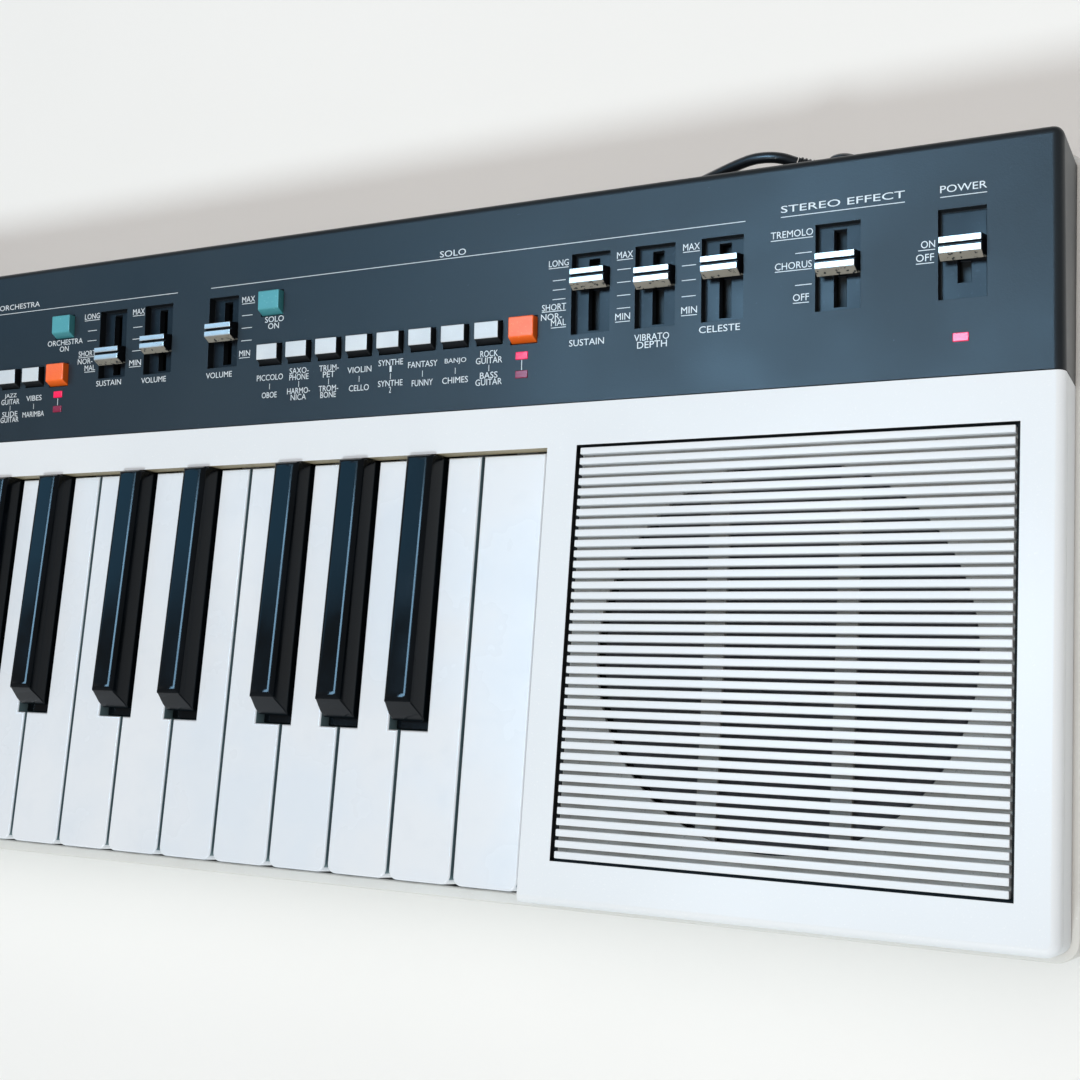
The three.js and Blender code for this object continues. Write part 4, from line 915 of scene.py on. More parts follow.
def grille(word, side):
    x = mirrored(WINDOW_X, side)
    middle = ((x[0] + x[1]) / 2, (WINDOW_Y[0] + WINDOW_Y[1]) / 2)
    plate_z = (GRILLE_TOP - PLATE_THICKNESS, GRILLE_TOP)
    plate = bmesh.new()
    block(plate, grown(x, GRILLE_FLANGE), grown(WINDOW_Y, GRILLE_FLANGE), plate_z)
    hole = bmesh.new()
    ring = circle(*middle, OPEN_RADIUS, 96)
    loft(hole, [raised(ring, z) for z in around(GRILLE_TOP, 9 * MM)])
    moulding = combine(plate, hole, "DIFFERENCE")
    rib_y = around(middle[1], OPEN_RADIUS + GRILLE_FLANGE)
    rib_z = (plate_z[0] - RIB_DEPTH, plate_z[0] + 0.2 * MM)
    for end in (-1, 1):
        rib_x = around(middle[0] + end * RIB_OFFSET, RIB_HALF)
        absorb(moulding, soft_block(rib_x, rib_y, rib_z, 0.3 * MM))
    # The plate takes the grey-brown: painted shade under the bars.
    for face in moulding.faces:
        face.material_index = 1
    bars = bmesh.new()
    bar_x = grown(x, -BAR_END_GAP)
    bar_z = (GRILLE_TOP - PLATE_THICKNESS / 2, COVER_TOP - BAR_DROP)
    for i in range(BAR_COUNT):
        y = middle[1] + (i - (BAR_COUNT - 1) / 2) * BAR_PITCH
        absorb(bars, soft_block(bar_x, around(y, BAR_WIDTH / 2), bar_z, 0.3 * MM))
    absorb(moulding, bars)
    replaced = (f"speaker_grille_{word}",)
    piece(f"grille_moulding_{word}", moulding, [white_abs, plate_shade_abs], "case", replaced)


def grille_gap_shade(word, side):
    """Dead black strips in the gap between the bars' ends and the edge of the window: painted shade in that
    deep gap.
    """
    x, y = mirrored(WINDOW_X, side), WINDOW_Y
    tucked_x, tucked_y = grown(x, 0.5 * MM), grown(y, 0.5 * MM)
    strip = BAR_END_GAP - 0.15 * MM
    z = (GRILLE_TOP - 0.1 * MM, GRILLE_TOP + 0.7 * MM)
    gap_shade_strips = bmesh.new()
    for strip_x in ((tucked_x[0], x[0] + strip), (x[1] - strip, tucked_x[1])):
        absorb(gap_shade_strips, soft_block(strip_x, tucked_y, z, 0.15 * MM))
    for strip_y in ((tucked_y[0], y[0] + strip), (y[1] - strip, tucked_y[1])):
        absorb(gap_shade_strips, soft_block(grown(x, -strip), strip_y, z, 0.15 * MM))
    piece(f"grille_gap_shade_{word}", gap_shade_strips, [gap_shade_black], "case")


for word, side in (("left", -1), ("right", 1)):
    loudspeaker(word)
    grille(word, side)
    grille_gap_shade(word, side)

# ---- Control panel housing ----
# A hollow black ABS moulding with a fine leather-like grain and rounded ends. Every slide control has a
# recess with a smooth glossy liner, in which a narrow slot lets the control's stem through.

panel_low, panel_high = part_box("control_panel")
PANEL_FRONT = panel_low.y
PANEL_REAR = panel_high.y
PANEL_ANGLE = math.radians(6)
PANEL_WALL = 2.6 * MM
PANEL_EDGE = 3 * MM
PANEL = Matrix.Translation((0, PANEL_FRONT, COVER_TOP)) @ Matrix.Rotation(PANEL_ANGLE, 4, "X")
BACKWARDS = Matrix.Rotation(math.radians(-90), 4, "X")
SLOT_HALF = (6.6 * MM, 12.7 * MM)
SLOT_MIDDLE = 33.9 * MM
SLOT_DEPTH = 3 * MM
SLOT_FLOOR = 2.2 * MM
SLOT_BORDER = 2 * MM
SLOT_Y = around(SLOT_MIDDLE, SLOT_HALF[1])
GUIDE_HALF = 1.8 * MM
POCKET_BOTTOM = -15 * MM
JACK_HOLE_RADIUS = 5.8 * MM
# Each control's place across, in millimetres past the last key, and where it rests up the slope.
SLIDERS = {
    "orchestra_sustain_slider": (-182.3, 29.9),
    "orchestra_volume_slider": (-160.2, 32.5),
    "solo_volume_slider": (-129.9, 34.3),
    "solo_sustain_slider": (15.2, 38.9),
    "vibrato_depth_slider": (36.9, 37.0),
    "celeste_slider": (58.6, 38.0),
    "stereo_effect_slider": (93.6, 35.1),
    "tempo_slider": (-352.0, 33.9),
    "rhythm_volume_slider": (-374.0, 36.0),
    "bass_volume_slider": (-396.0, 31.5),
    "power_switch": (128.6, 35.8),
}
SWITCH_GUIDE = (26.3 * MM, 37.7 * MM)
SLIDER_GUIDE = around(SLOT_MIDDLE, 11.25 * MM)
# Each button's place across and up the slope, in millimetres, and its kind.
BUTTON_PITCH = 12.55
VOICE_LINE = 24.1
ON_LINE = 42.3
BUTTONS = {f"solo_voice_button_{i}": (-8 - (9 - i) * BUTTON_PITCH, VOICE_LINE, "light") for i in range(1, 9)}
BUTTONS["solo_variation_button"] = (-8, VOICE_LINE, "orange")
BUTTONS["solo_on_button"] = (-108.4, ON_LINE, "teal")
for i in (7, 8):
    BUTTONS[f"orchestra_voice_button_{i}"] = (-209 - (9 - i) * BUTTON_PITCH, VOICE_LINE, "light")
BUTTONS["orchestra_variation_button"] = (-209, VOICE_LINE, "orange")
BUTTONS["orchestra_on_button"] = (-206.8, ON_LINE, "teal")
BANK = [-209 - (i + 3) * BUTTON_PITCH for i in range(6)]
BANK += [-430 - i * BUTTON_PITCH for i in range(8)] + [-560 - i * BUTTON_PITCH for i in range(4)]
BUTTON_HALF = 4.5 * MM
BUTTON_PLAY = 0.35 * MM
BUTTON_LENGTHS = {"light": 7 * MM, "orange": 8.2 * MM, "teal": 8.2 * MM}


def across(x):
    """A place along the panel in the part's frame, from millimetres past the last key."""
    return KEYS_RIGHT + x * MM


def on_panel(bm):
    """Lays a bmesh made in the panel's own frame (across, up the slope, out of the face) on the panel."""
    bmesh.ops.transform(bm, matrix=PANEL, verts=bm.verts)
    return bm


def guide_of(name):
    return SWITCH_GUIDE if name == "power_switch" else SLIDER_GUIDE


def grained_black_abs():
    """The mould's photo-etched grain: cells of 0.6 mm and 0.02 mm deep, with a satin gloss that shows
    handling as slightly shinier patches of some centimetres, and a few pale specks of dust."""
    sockets = {"IOR": 1.54, "Specular_IOR_Level": 0.3}
    made, tree, shader, place = material("grained_black_abs", **sockets)
    cells = node(tree, "ShaderNodeTexVoronoi", {"Vector": place, "Scale": per_mm(0.6)}, "Distance")
    hands = node(tree, "ShaderNodeTexNoise", {"Vector": place, "Scale": per_mm(60), "Detail": 3.0})
    handled = node(tree, "ShaderNodeMapRange", {"Value": hands, "From Min": 0.35, "From Max": 0.65})
    specks = node(tree, "ShaderNodeTexNoise", {"Vector": place, "Scale": per_mm(1.4), "Detail": 6.0})
    dust = node(tree, "ShaderNodeMapRange", {"Value": specks, "From Min": 0.72, "From Max": 0.8})
    blacks = {0: handled, 6: linear("#191C1F"), 7: linear("#1D2124")}
    dusted = {0: dust, 6: node(tree, "ShaderNodeMix", blacks, 2, data_type="RGBA"), 7: linear("#3B4247")}
    grain = {"Height": cells, "Distance": 0.02 * MM, "Strength": 0.6}
    surface = {
        "Base Color": node(tree, "ShaderNodeMix", dusted, 2, data_type="RGBA"),
        "Roughness": node(tree, "ShaderNodeMapRange", {"Value": handled, "To Min": 0.36, "To Max": 0.46}),
        "Normal": node(tree, "ShaderNodeBump", grain),
    }
    connect(tree, shader, surface)
    return made


black_abs = grained_black_abs()
# The recesses' liners are polished, and dark enough to read as black beside the grained panel.
gloss_colours = ("#0A0C10", "#0E1116", "#23282E")
gloss_abs = moulded("glossy_black_abs", gloss_colours, 0.32, 1.3, 0.002, 20, specular=0.2)


def housing_shell():
    """The sloping hollow housing, rounded at its top and ends and cut off square at its front and bottom."""
    rear_top = COVER_TOP + (PANEL_REAR - PANEL_FRONT) * math.tan(PANEL_ANGLE)
    front_top = COVER_TOP - FAR * math.tan(PANEL_ANGLE)
    front, bottom = PANEL_FRONT - FAR, COVER_BOTTOM - FAR
    shell = bmesh.new()
    verts = block(shell, (panel_low.x, panel_high.x), (front, PANEL_REAR), (bottom, rear_top))
    for vert in verts:
        if vert.co.y < PANEL_FRONT and vert.co.z > COVER_BOTTOM:
            vert.co.z = front_top

    def rounded(edge):
        on_front = all(abs(v.co.y - front) < MM for v in edge.verts)
        return not on_front and not all(abs(v.co.z - bottom) < MM for v in edge.verts)

    soften(shell, PANEL_EDGE, 6, rounded)
    cuts = bmesh.new()
    wide = grown((panel_low.x, panel_high.x), FAR)
    block(cuts, wide, (front - FAR, PANEL_FRONT), (bottom - FAR, COVER_TOP + FAR))
    block(cuts, wide, (front - FAR, PANEL_REAR + FAR), (bottom - FAR, COVER_BOTTOM))
    shell = combine(shell, cuts, "DIFFERENCE")
    hollow = bmesh.new()
    inside = grown((panel_low.x, panel_high.x), -PANEL_WALL)
    drop = PANEL_WALL / math.cos(PANEL_ANGLE)
    verts = block(hollow, inside, (front, PANEL_REAR - PANEL_WALL), (bottom, rear_top - drop))
    for vert in verts:
        if vert.co.z > COVER_BOTTOM:
            vert.co.z = COVER_TOP + (vert.co.y - PANEL_FRONT) * math.tan(PANEL_ANGLE) - drop
    return combine(shell, hollow, "DIFFERENCE")


def housing():
    blocks = bmesh.new()
    pockets = bmesh.new()
    for name, (place, _) in SLIDERS.items():
        x = across(place)
        slot_x = around(x, SLOT_HALF[0])
        block_z = (-SLOT_DEPTH - SLOT_FLOOR, -PANEL_WALL / 2)
        block(blocks, grown(slot_x, SLOT_BORDER), grown(SLOT_Y, SLOT_BORDER), block_z)
        block(pockets, slot_x, SLOT_Y, (-SLOT_DEPTH, FAR))
        block(pockets, around(x, GUIDE_HALF), guide_of(name), (POCKET_BOTTOM, -SLOT_DEPTH + MM))
    holes = [(x, y, BUTTON_LENGTHS[kind]) for x, y, kind in BUTTONS.values()]
    holes += [(x, VOICE_LINE, BUTTON_LENGTHS["light"]) for x in BANK]
    for x, y, length in holes:
        hole_x = around(across(x), BUTTON_HALF + BUTTON_PLAY)
        block(pockets, hole_x, around(y * MM, length / 2 + BUTTON_PLAY), (POCKET_BOTTOM, FAR))
    shell = combine(housing_shell(), on_panel(blocks), "UNION")
    shell = combine(shell, on_panel(pockets), "DIFFERENCE")
    low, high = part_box("supply_socket")
    bore = bmesh.new()
    jack = Matrix.Translation(((low.x + high.x) / 2, 0, (low.z + high.z) / 2))
    inner_end = PANEL_REAR - 15 * MM
    profile = [(0, inner_end), (JACK_HOLE_RADIUS, inner_end), (JACK_HOLE_RADIUS, 1), (0, 1)]
    turned(bore, profile, 48, jack @ BACKWARDS)
    shell = combine(shell, bore, "DIFFERENCE")
    inverse = PANEL.inverted()

    def slot_rim(edge):
        return all(abs((inverse @ v.co).z) < 0.02 * MM for v in edge.verts)

    soften(shell, 0.25 * MM, 2, slot_rim, 60)
    piece("panel_housing", shell, [black_abs], "case", ("control_panel",))


housing()


def slot_liners():
    """Each liner lies in its recess with a narrow shadow gap, and lets the guide slot through."""
    liners = bmesh.new()
    gap = 0.5 * MM
    floor = -SLOT_DEPTH + 0.02 * MM
    top = -SLOT_DEPTH + 0.35 * MM
    for name, (place, _) in SLIDERS.items():
        x = across(place)
        hole = rectangle(around(x, GUIDE_HALF), guide_of(name))
        edge = rectangle(around(x, SLOT_HALF[0] - gap), around(SLOT_MIDDLE, SLOT_HALF[1] - gap))
        liner = bmesh.new()
        rings = [raised(hole, floor), raised(edge, floor), raised(edge, top), raised(hole, top)]
        loft(liner, rings, "joined")
        bmesh.ops.recalc_face_normals(liner, faces=liner.faces)
        soften(liner, 0.15 * MM, 2)
        absorb(liners, liner)
    piece("slot_liners", on_panel(liners), [gloss_abs], "case")


slot_liners()

# ---- Main circuit board ----
# Brown paper-phenolic laminate under the panel, with the solder side up. Below each guide slot lies a strip of
# black film, so that nothing shows through the slot: a dark sheet that is painted shade for the depth of the
# slot.


def phenolic_laminate():
    """Paper-phenolic board, with tinned tracks of 2.5 mm drawn as a brick pattern where the copper is."""
    made, tree, shader, place = material("phenolic_laminate", Roughness=0.45, IOR=1.6)
    bricks = {"Vector": place, "Scale": per_mm(5), "Mortar Size": 0.12, "Brick Width": 3.0, "Row Height": 0.5}
    tracks = node(tree, "ShaderNodeTexBrick", bricks, 1)
    fibre = node(tree, "ShaderNodeTexNoise", {"Vector": place, "Scale": per_mm(9)})
    browns = {0: fibre, 6: linear("#5A3A18"), 7: linear("#6B4820")}
    tinned = {0: tracks, 6: node(tree, "ShaderNodeMix", browns, 2, data_type="RGBA"), 7: linear("#8F8C7A")}
    surface = {"Base Color": node(tree, "ShaderNodeMix", tinned, 2, data_type="RGBA"), "Metallic": tracks}
    connect(tree, shader, surface)
    return made


finish_node("main_circuit_board", phenolic_laminate())


def slot_shade_films():
    films = bmesh.new()
    for place, _ in SLIDERS.values():
        film_y = around(SLOT_MIDDLE, 15 * MM)
        absorb(films, soft_block(around(across(place), 4.2 * MM), film_y, (-7.55 * MM, -7.1 * MM), 0.1 * MM))
    # The film is dead black: painted shade under the slot.
    film = moulded("slot_painted_shade_film", ("#060708", "#08090A", "#0C0D0E"), 0.5, 0.7, 0.004)
    piece("slot_shade_films", on_panel(films), [film], "case")


slot_shade_films()

# ---- Slide controls and power switch ----
# Black caps on black stems. The two bars across the top and the faces below them are vacuum-metallised, and
# rubbed through to the black plastic here and there on the side that the finger pushes.

CAP_HALF = (6.1 * MM, 5.8 * MM)
# A cap's side: places along the slope and out of the panel, in millimetres.
CAP_PROFILE = [
    (-3.0, -2.5), (3.0, -2.5), (2.3, 3.5), (0.45, 3.5), (0.3, 2.5), (-0.3, 2.5), (-0.45, 3.5), (-2.3, 3.5),
    (-4.0, 0.55), (-3.0, 0.4),
]
CAP_FOOT = -2.5
CAP_RISE = 3.5
STEM_BOTTOM = -6.8 * MM


def metallised(name, wear, colours, metallic):
    """Vacuum-deposited aluminium under lacquer, worn through to the black in flecks of about 1 mm."""
    made, tree, shader, place = material(name, Coat_Weight=0.3)
    flecks = node(tree, "ShaderNodeTexNoise", {"Vector": place, "Scale": per_mm(1.1), "Detail": 5.0})
    worn = {"Value": flecks, "From Min": 0.66 - wear, "From Max": 0.7 - wear}
    gone = node(tree, "ShaderNodeMapRange", worn)
    cloud = node(tree, "ShaderNodeTexNoise", {"Vector": place, "Scale": per_mm(5)})
    tones = {0: cloud, 6: linear(colours[0]), 7: linear(colours[1])}
    fleck = {0: gone, 6: node(tree, "ShaderNodeMix", tones, 2, data_type="RGBA"), 7: linear("#1B1C1E")}
    surface = {
        "Base Color": node(tree, "ShaderNodeMix", fleck, 2, data_type="RGBA"),
        "Metallic": node(tree, "ShaderNodeMapRange", {"Value": gone, "To Min": metallic, "To Max": 0.0}),
        "Roughness": node(tree, "ShaderNodeMapRange", {"Value": gone, "To Min": 0.26, "To Max": 0.5}),
    }
    connect(tree, shader, surface)
    return made


bright_metal = metallised("metallised_bar", 0.0, ("#D9DCDD", "#C4C6C5"), 0.6)
worn_metal = metallised("worn_metallised_face", 0.09, ("#BDB6A8", "#A39C8E"), 0.3)


def slide_cap(name, x, rest):
    cap = bmesh.new()
    rings = []
    for end in (-1, 1):
        ring = []
        for y, z in CAP_PROFILE:
            share = (z - CAP_FOOT) / (CAP_RISE - CAP_FOOT)
            half = CAP_HALF[0] + (CAP_HALF[1] - CAP_HALF[0]) * share
            ring.append((end * half, y * MM, z * MM))
        rings.append(ring)
    loft(cap, rings)
    bmesh.ops.recalc_face_normals(cap, faces=cap.faces)
    soften(cap, 0.2 * MM, 3, lambda edge: min(v.co.z for v in edge.verts) > 0.5 * MM)
    cap.normal_update()
    for face in cap.faces:
        centre = face.calc_center_median()
        on_bar = face.normal.z > 0.5 and centre.z > (CAP_RISE - 0.6) * MM
        facing = face.normal.y < -0.4 and centre.y < -1.5 * MM
        face.material_index = 1 if on_bar else 2 if facing else 0
    stem = soft_block(around(0, 1.4 * MM), around(0, 1.5 * MM), (STEM_BOTTOM, -2 * MM), 0.2 * MM)
    shoe = soft_block(around(0, 3.6 * MM), around(0, 3 * MM), (STEM_BOTTOM, -5.6 * MM), 0.2 * MM)
    absorb(cap, stem, shoe)
    bmesh.ops.translate(cap, vec=(across(x), rest * MM, 0), verts=cap.verts)
    finishes = [gloss_abs, bright_metal, worn_metal]
    piece(name + "_knob", on_panel(cap), finishes, name, (name,))


for name, (x, rest) in SLIDERS.items():
    slide_cap(name, x, rest)

# ---- Push buttons ----
# Keycaps with a leaning front. The light ones are black plastic with silver paint on top. The orange and the
# teal ones are moulded in their colour. A flange under the panel keeps each one in its hole.

BUTTON_RISE = 2.5 * MM
BUTTON_LEAN = 1.6 * MM
BUTTON_DEPTH = 5.2 * MM
FLANGE_TOP = -PANEL_WALL - 0.6 * MM

# Silver paint has a metallic-looking sheen without being metal. The coloured caps have a light gloss.
silver_paint = moulded("sprayed_silver_paint", ("#D2D8DB", "#C9CFD3", "#E3E7E9"), 0.38, 0.35, 0.004, 12, 0.2)
satin_black = moulded("satin_black_abs", ("#121416", "#16181B", "#26292C"), 0.42, 0.5, 0.004, 12)
orange_abs = moulded("orange_abs", ("#FF6F1C", "#FA6614", "#FF9352"), 0.36, 0.6, 0.004, 12, 0.2)
teal_abs = moulded("teal_abs", ("#4F9DA3", "#48949B", "#79B9BD"), 0.4, 0.6, 0.004, 12, 0.1)
BUTTON_FINISHES = {
    "light": ([satin_black, silver_paint], "light_button"),
    "orange": ([orange_abs, orange_abs], "orange_button"),
    "teal": ([teal_abs, teal_abs], "teal_button"),
}


def button_cap(bm, x, y, length):
    half = length / 2
    foot = [(-half, -BUTTON_DEPTH), (half, -BUTTON_DEPTH)]
    profile = foot + [(half, BUTTON_RISE), (-half + BUTTON_LEAN, BUTTON_RISE), (-half, 0)]
    cap = bmesh.new()
    loft(cap, [[(end * BUTTON_HALF, along, rise) for along, rise in profile] for end in (-1, 1)])
    bmesh.ops.recalc_face_normals(cap, faces=cap.faces)
    soften(cap, 0.4 * MM, 3, lambda edge: max(v.co.z for v in edge.verts) > 0.1 * MM, 25)
    cap.normal_update()
    for face in cap.faces:
        face.material_index = 1 if face.normal.z > 0.8 and face.calc_center_median().z > 0 else 0
    flange_z = (FLANGE_TOP - 1.2 * MM, FLANGE_TOP)
    absorb(cap, soft_block(around(0, BUTTON_HALF + MM), around(0, half + MM), flange_z, 0.2 * MM))
    bmesh.ops.translate(cap, vec=(across(x), y * MM, 0), verts=cap.verts)
    absorb(bm, cap)


def push_buttons():
    for name, (x, y, kind) in BUTTONS.items():
        cap = bmesh.new()
        button_cap(cap, x, y, BUTTON_LENGTHS[kind])
        finishes, slot = BUTTON_FINISHES[kind]
        piece(name + "_cap", on_panel(cap), finishes, name, (name,))
    bank = bmesh.new()
    for x in BANK:
        button_cap(bank, x, VOICE_LINE, BUTTON_LENGTHS["light"])
    strip_x = (across(min(BANK)) - BUTTON_HALF, across(max(BANK)) + BUTTON_HALF)
    absorb(bank, soft_block(strip_x, (13 * MM, 17 * MM), (FLANGE_TOP - 1.2 * MM, FLANGE_TOP), 0.2 * MM))
    tab_z = (FLANGE_TOP - 1.1 * MM, FLANGE_TOP - 0.1 * MM)
    for x in BANK:
        absorb(bank, soft_block(around(across(x), 2 * MM), (14 * MM, 22 * MM), tab_z, 0.2 * MM))
    finishes, slot = BUTTON_FINISHES["light"]
    piece("left_button_caps", on_panel(bank), finishes, "left_button_bank", ("left_button_bank",))


push_buttons()

# ---- Indicator lamps ----
# Flat red light-emitting diodes, set flush in the panel: the upper one of each pair and the power lamp are
# lit, and the lower ones are dark.

# Each lamp's place across and up the slope, in millimetres, and whether it is lit.
LAMPS = [
    (-8.6, 16.0, True), (-8.6, 10.0, False), (-209, 16.7, True), (-209, 11.1, False), (128.1, 10.5, True),
]
LAMP_HALF = (2.2 * MM, 1.25 * MM)


def diffused_epoxy(name, colours, glow):
    """Tinted diffusing epoxy: it glows a little unevenly, on the scale of the 1 mm reflector behind it."""
    sockets = {"Roughness": 0.25, "IOR": 1.56, "Emission_Strength": glow}
    made, tree, shader, place = material(name, **sockets)
    patch = node(tree, "ShaderNodeTexNoise", {"Vector": place, "Scale": per_mm(1.0)})
    reds = {0: patch, 6: linear(colours[0]), 7: linear(colours[1])}
    red = node(tree, "ShaderNodeMix", reds, 2, data_type="RGBA")
    connect(tree, shader, {"Base Color": red, "Emission Color": red})
    return made


def lamps():
    lit_lenses, dark_lenses = bmesh.new(), bmesh.new()
    for x, y, lit in LAMPS:
        lamp_x = around(across(x), LAMP_HALF[0])
        lens = soft_block(lamp_x, around(y * MM, LAMP_HALF[1]), (-MM, 0.3 * MM), 0.25 * MM, 3)
        absorb(lit_lenses if lit else dark_lenses, lens)
    glowing = diffused_epoxy("lit_red_epoxy", ("#D0003A", "#E6004C"), 0.42)
    # The dark lenses glow faintly too, though they are not lit: painted light.
    dark = diffused_epoxy("dark_red_epoxy", ("#7A1030", "#8C1638"), 0.05)
    piece("lit_lamps", on_panel(lit_lenses), [glowing], "case")
    piece("dark_lamps", on_panel(dark_lenses), [dark], "case")


lamps()

# ---- Lettering ----
# Words, rules and scale marks, screen-printed on the panel in pale grey ink. The ink stands a few hundredths
# of a millimetre proud. Every word is a plain description of its control.

INK = 0.03 * MM
INK_BASE = 0.003 * MM
RULE_HALF = 0.11
CAP_HEIGHT = 2.05

# Words with their left and right ends and their middle up the slope, in millimetres past the last key.
WORDS = [
    ("SUSTAIN", 8.1, 20.1, 18.5), ("VIBRATO", 30.3, 41.8, 18.3), ("DEPTH", 31.3, 41.1, 16.0),
    ("CELESTE", 51.4, 64.3, 19.0), ("LONG", 0.5, 7.5, 44.4), ("SHORT", -1.7, 6.8, 30.5),
    ("NOR-", -2.0, 5.4, 27.5), ("MAL", 1.6, 6.9, 25.5), ("MAX", 24.1, 29.5, 44.6), ("MAX", 46.0, 51.4, 44.6),
    ("MIN", 23.8, 28.8, 25.4), ("MIN", 45.6, 50.7, 25.4), ("TREMOLO", 73.6, 86.3, 44.9),
    ("CHORUS", 74.9, 86.0, 35.5), ("OFF", 80.4, 85.2, 25.9), ("ON", 117.3, 121.2, 37.3),
    ("OFF", 115.9, 120.9, 33.6), ("POWER", 122.6, 135.3, 52.3), ("STEREO EFFECT", 76.6, 112.8, 52.4),
    ("SOLO", -40.0, -30.1, 52.0), ("ORCHESTRA", -242.2, -220.7, 52.7), ("VOLUME", -137.0, -125.3, 18.6),
    ("MAX", -121.8, -116.1, 44.7), ("MIN", -122.3, -117.5, 25.5), ("SOLO", -111.3, -103.2, 36.6),
    ("ON", -109.9, -105.2, 34.2), ("ORCHESTRA", -215.5, -197.5, 36.5), ("ON", -209.1, -204.5, 34.0),
    ("LONG", -196.8, -189.3, 45.3), ("SHORT", -199.2, -190.6, 31.3), ("NOR-", -199.5, -192.1, 28.4),
    ("MAL", -195.9, -190.6, 25.7), ("SUSTAIN", -189.7, -177.4, 19.4), ("VOLUME", -167.5, -155.7, 19.0),
    ("MAX", -172.8, -167.1, 45.0), ("MIN", -173.7, -168.0, 26.0),
    ("TEMPO", -356.5, -347.5, 18.6), ("RHYTHM", -379.8, -368.2, 18.6), ("BASS", -399.6, -392.4, 18.6),
    ("FAST", -366.0, -360.2, 44.6), ("SLOW", -366.0, -359.8, 25.5), ("MAX", -387.6, -382.2, 44.6),
    ("MIN", -387.4, -382.4, 25.5), ("MAX", -409.6, -404.2, 44.6), ("MIN", -409.4, -404.4, 25.5),
    ("RHYTHM", -481.0, -467.0, 52.0), ("CHORD", -584.0, -572.0, 52.0),
]
# The two voices of each button: the upper one and the lower one, each on one line or two.
VOICES = {
    "solo_voice_button_1": ("PICCOLO", "OBOE"), "solo_voice_button_2": ("SAXO- PHONE", "HARMO- NICA"),
    "solo_voice_button_3": ("TRUM- PET", "TROM- BONE"), "solo_voice_button_4": ("VIOLIN", "CELLO"),
    "solo_voice_button_5": ("SYNTHE 1", "SYNTHE 2"), "solo_voice_button_6": ("FANTASY", "FUNNY"),
    "solo_voice_button_7": ("BANJO", "CHIMES"), "solo_voice_button_8": ("ROCK GUITAR", "BASS GUITAR"),
    "orchestra_voice_button_7": ("JAZZ GUITAR", "SLIDE GUITAR"),
    "orchestra_voice_button_8": ("VIBES", "MARIMBA"),
}
BANK_VOICES = [
    ("HARPSI- CHORD", "CLAVI"), ("ELEC. PIANO", "PIANO"), ("ACCOR- DION", "MUSETTE"), ("ORGAN", "PIPE ORGAN"),
    ("BRASS", "HORN"), ("STRINGS", "CHOIR"), ("MARCH", "WALTZ"), ("SWING", "BALLAD"), ("ROCK", "DISCO"),
    ("BOSSA", "SAMBA"), ("TANGO", "RUMBA"), ("BEGUINE", "REGGAE"), ("SLOW ROCK", "BLUES"),
    ("16 BEAT", "8 BEAT"), ("SINGLE", "FINGER"), ("FINGERED", "CHORD"), ("MEMORY", "HOLD"), ("INTRO", "ENDING"),
]
LETTER_WIDTH = 1.62
NARROWEST_WORD = 2.0
ONE_LETTER_WIDTH = 0.8
VOICE_LINES = (16.1, 9.9)
LINE_SPREAD = 1.1
TWO_LINE_SHIFT = 0.4
# The lines that join the two lamps of a pair: the place across, and the upper and lower end.
LAMP_LINES = [(-8.6, 14.6, 11.4), (-209, 15.2, 12.5)]
# Rules and scale marks: left and right ends, and the place up the slope.
RULES = [
    (-136.1, 65.7, 50.3), (-252.0, -151.6, 50.2), (76.6, 112.8, 50.1), (122.6, 135.3, 50.1),
    (0.5, 7.5, 42.9), (-1.7, 6.8, 29.2), (1.6, 6.9, 23.9),
    (2.0, 6.5, 38.9), (2.0, 6.5, 35.9), (2.0, 6.5, 32.9),
    (24.1, 29.5, 43.1), (24.3, 28.8, 40.1), (24.3, 28.8, 36.1), (24.3, 28.8, 32.0), (24.3, 28.8, 28.0),
    (23.8, 28.8, 23.8), (46.0, 51.4, 43.1), (45.7, 50.2, 39.0), (45.7, 50.2, 34.5), (45.7, 50.2, 29.6),
    (45.6, 50.7, 23.8), (73.6, 86.3, 43.3), (81.0, 86.0, 38.9), (74.9, 86.0, 34.0), (81.0, 86.0, 29.5),
    (80.4, 85.2, 24.3), (116.5, 121.2, 35.7), (115.9, 120.9, 32.0),
    (-121.8, -116.1, 43.2), (-121.6, -117.0, 39.0), (-121.6, -117.0, 34.5), (-121.6, -117.0, 30.0),
    (-122.3, -117.5, 23.9), (-196.8, -189.3, 43.8), (-195.0, -190.5, 39.8), (-195.0, -190.5, 36.0),
    (-199.2, -190.6, 29.9), (-195.9, -190.6, 24.2), (-172.8, -167.1, 43.5), (-172.5, -168.0, 39.2),
    (-172.5, -168.0, 34.8), (-172.5, -168.0, 30.4), (-173.7, -168.0, 24.5),
    (-366.0, -360.0, 43.1), (-365.0, -360.4, 34.0), (-366.0, -359.8, 24.0), (-387.6, -382.2, 43.1),
    (-387.0, -382.4, 34.0), (-387.4, -382.4, 24.0), (-409.6, -404.2, 43.1), (-409.0, -404.4, 34.0),
    (-409.4, -404.4, 24.0), (-522.0, -425.0, 50.2), (-602.0, -555.0, 50.2), (-296.0, -262.0, 50.2),
]


def screen_ink():
    """Two-part epoxy ink: slightly glossy, with pinholes of a fifth of a millimetre in its edge."""
    made, tree, shader, place = material("screen_printed_ink", Roughness=0.4, IOR=1.5)
    specks = node(tree, "ShaderNodeTexNoise", {"Vector": place, "Scale": per_mm(0.25)})
    pinholes = {"Value": specks, "From Min": 0.62, "From Max": 0.7, "To Max": 0.35}
    greys = {0: node(tree, "ShaderNodeMapRange", pinholes), 6: linear("#D6DADB"), 7: linear("#8C9092")}
    connect(tree, shader, {"Base Color": node(tree, "ShaderNodeMix", greys, 2, data_type="RGBA")})
    return made


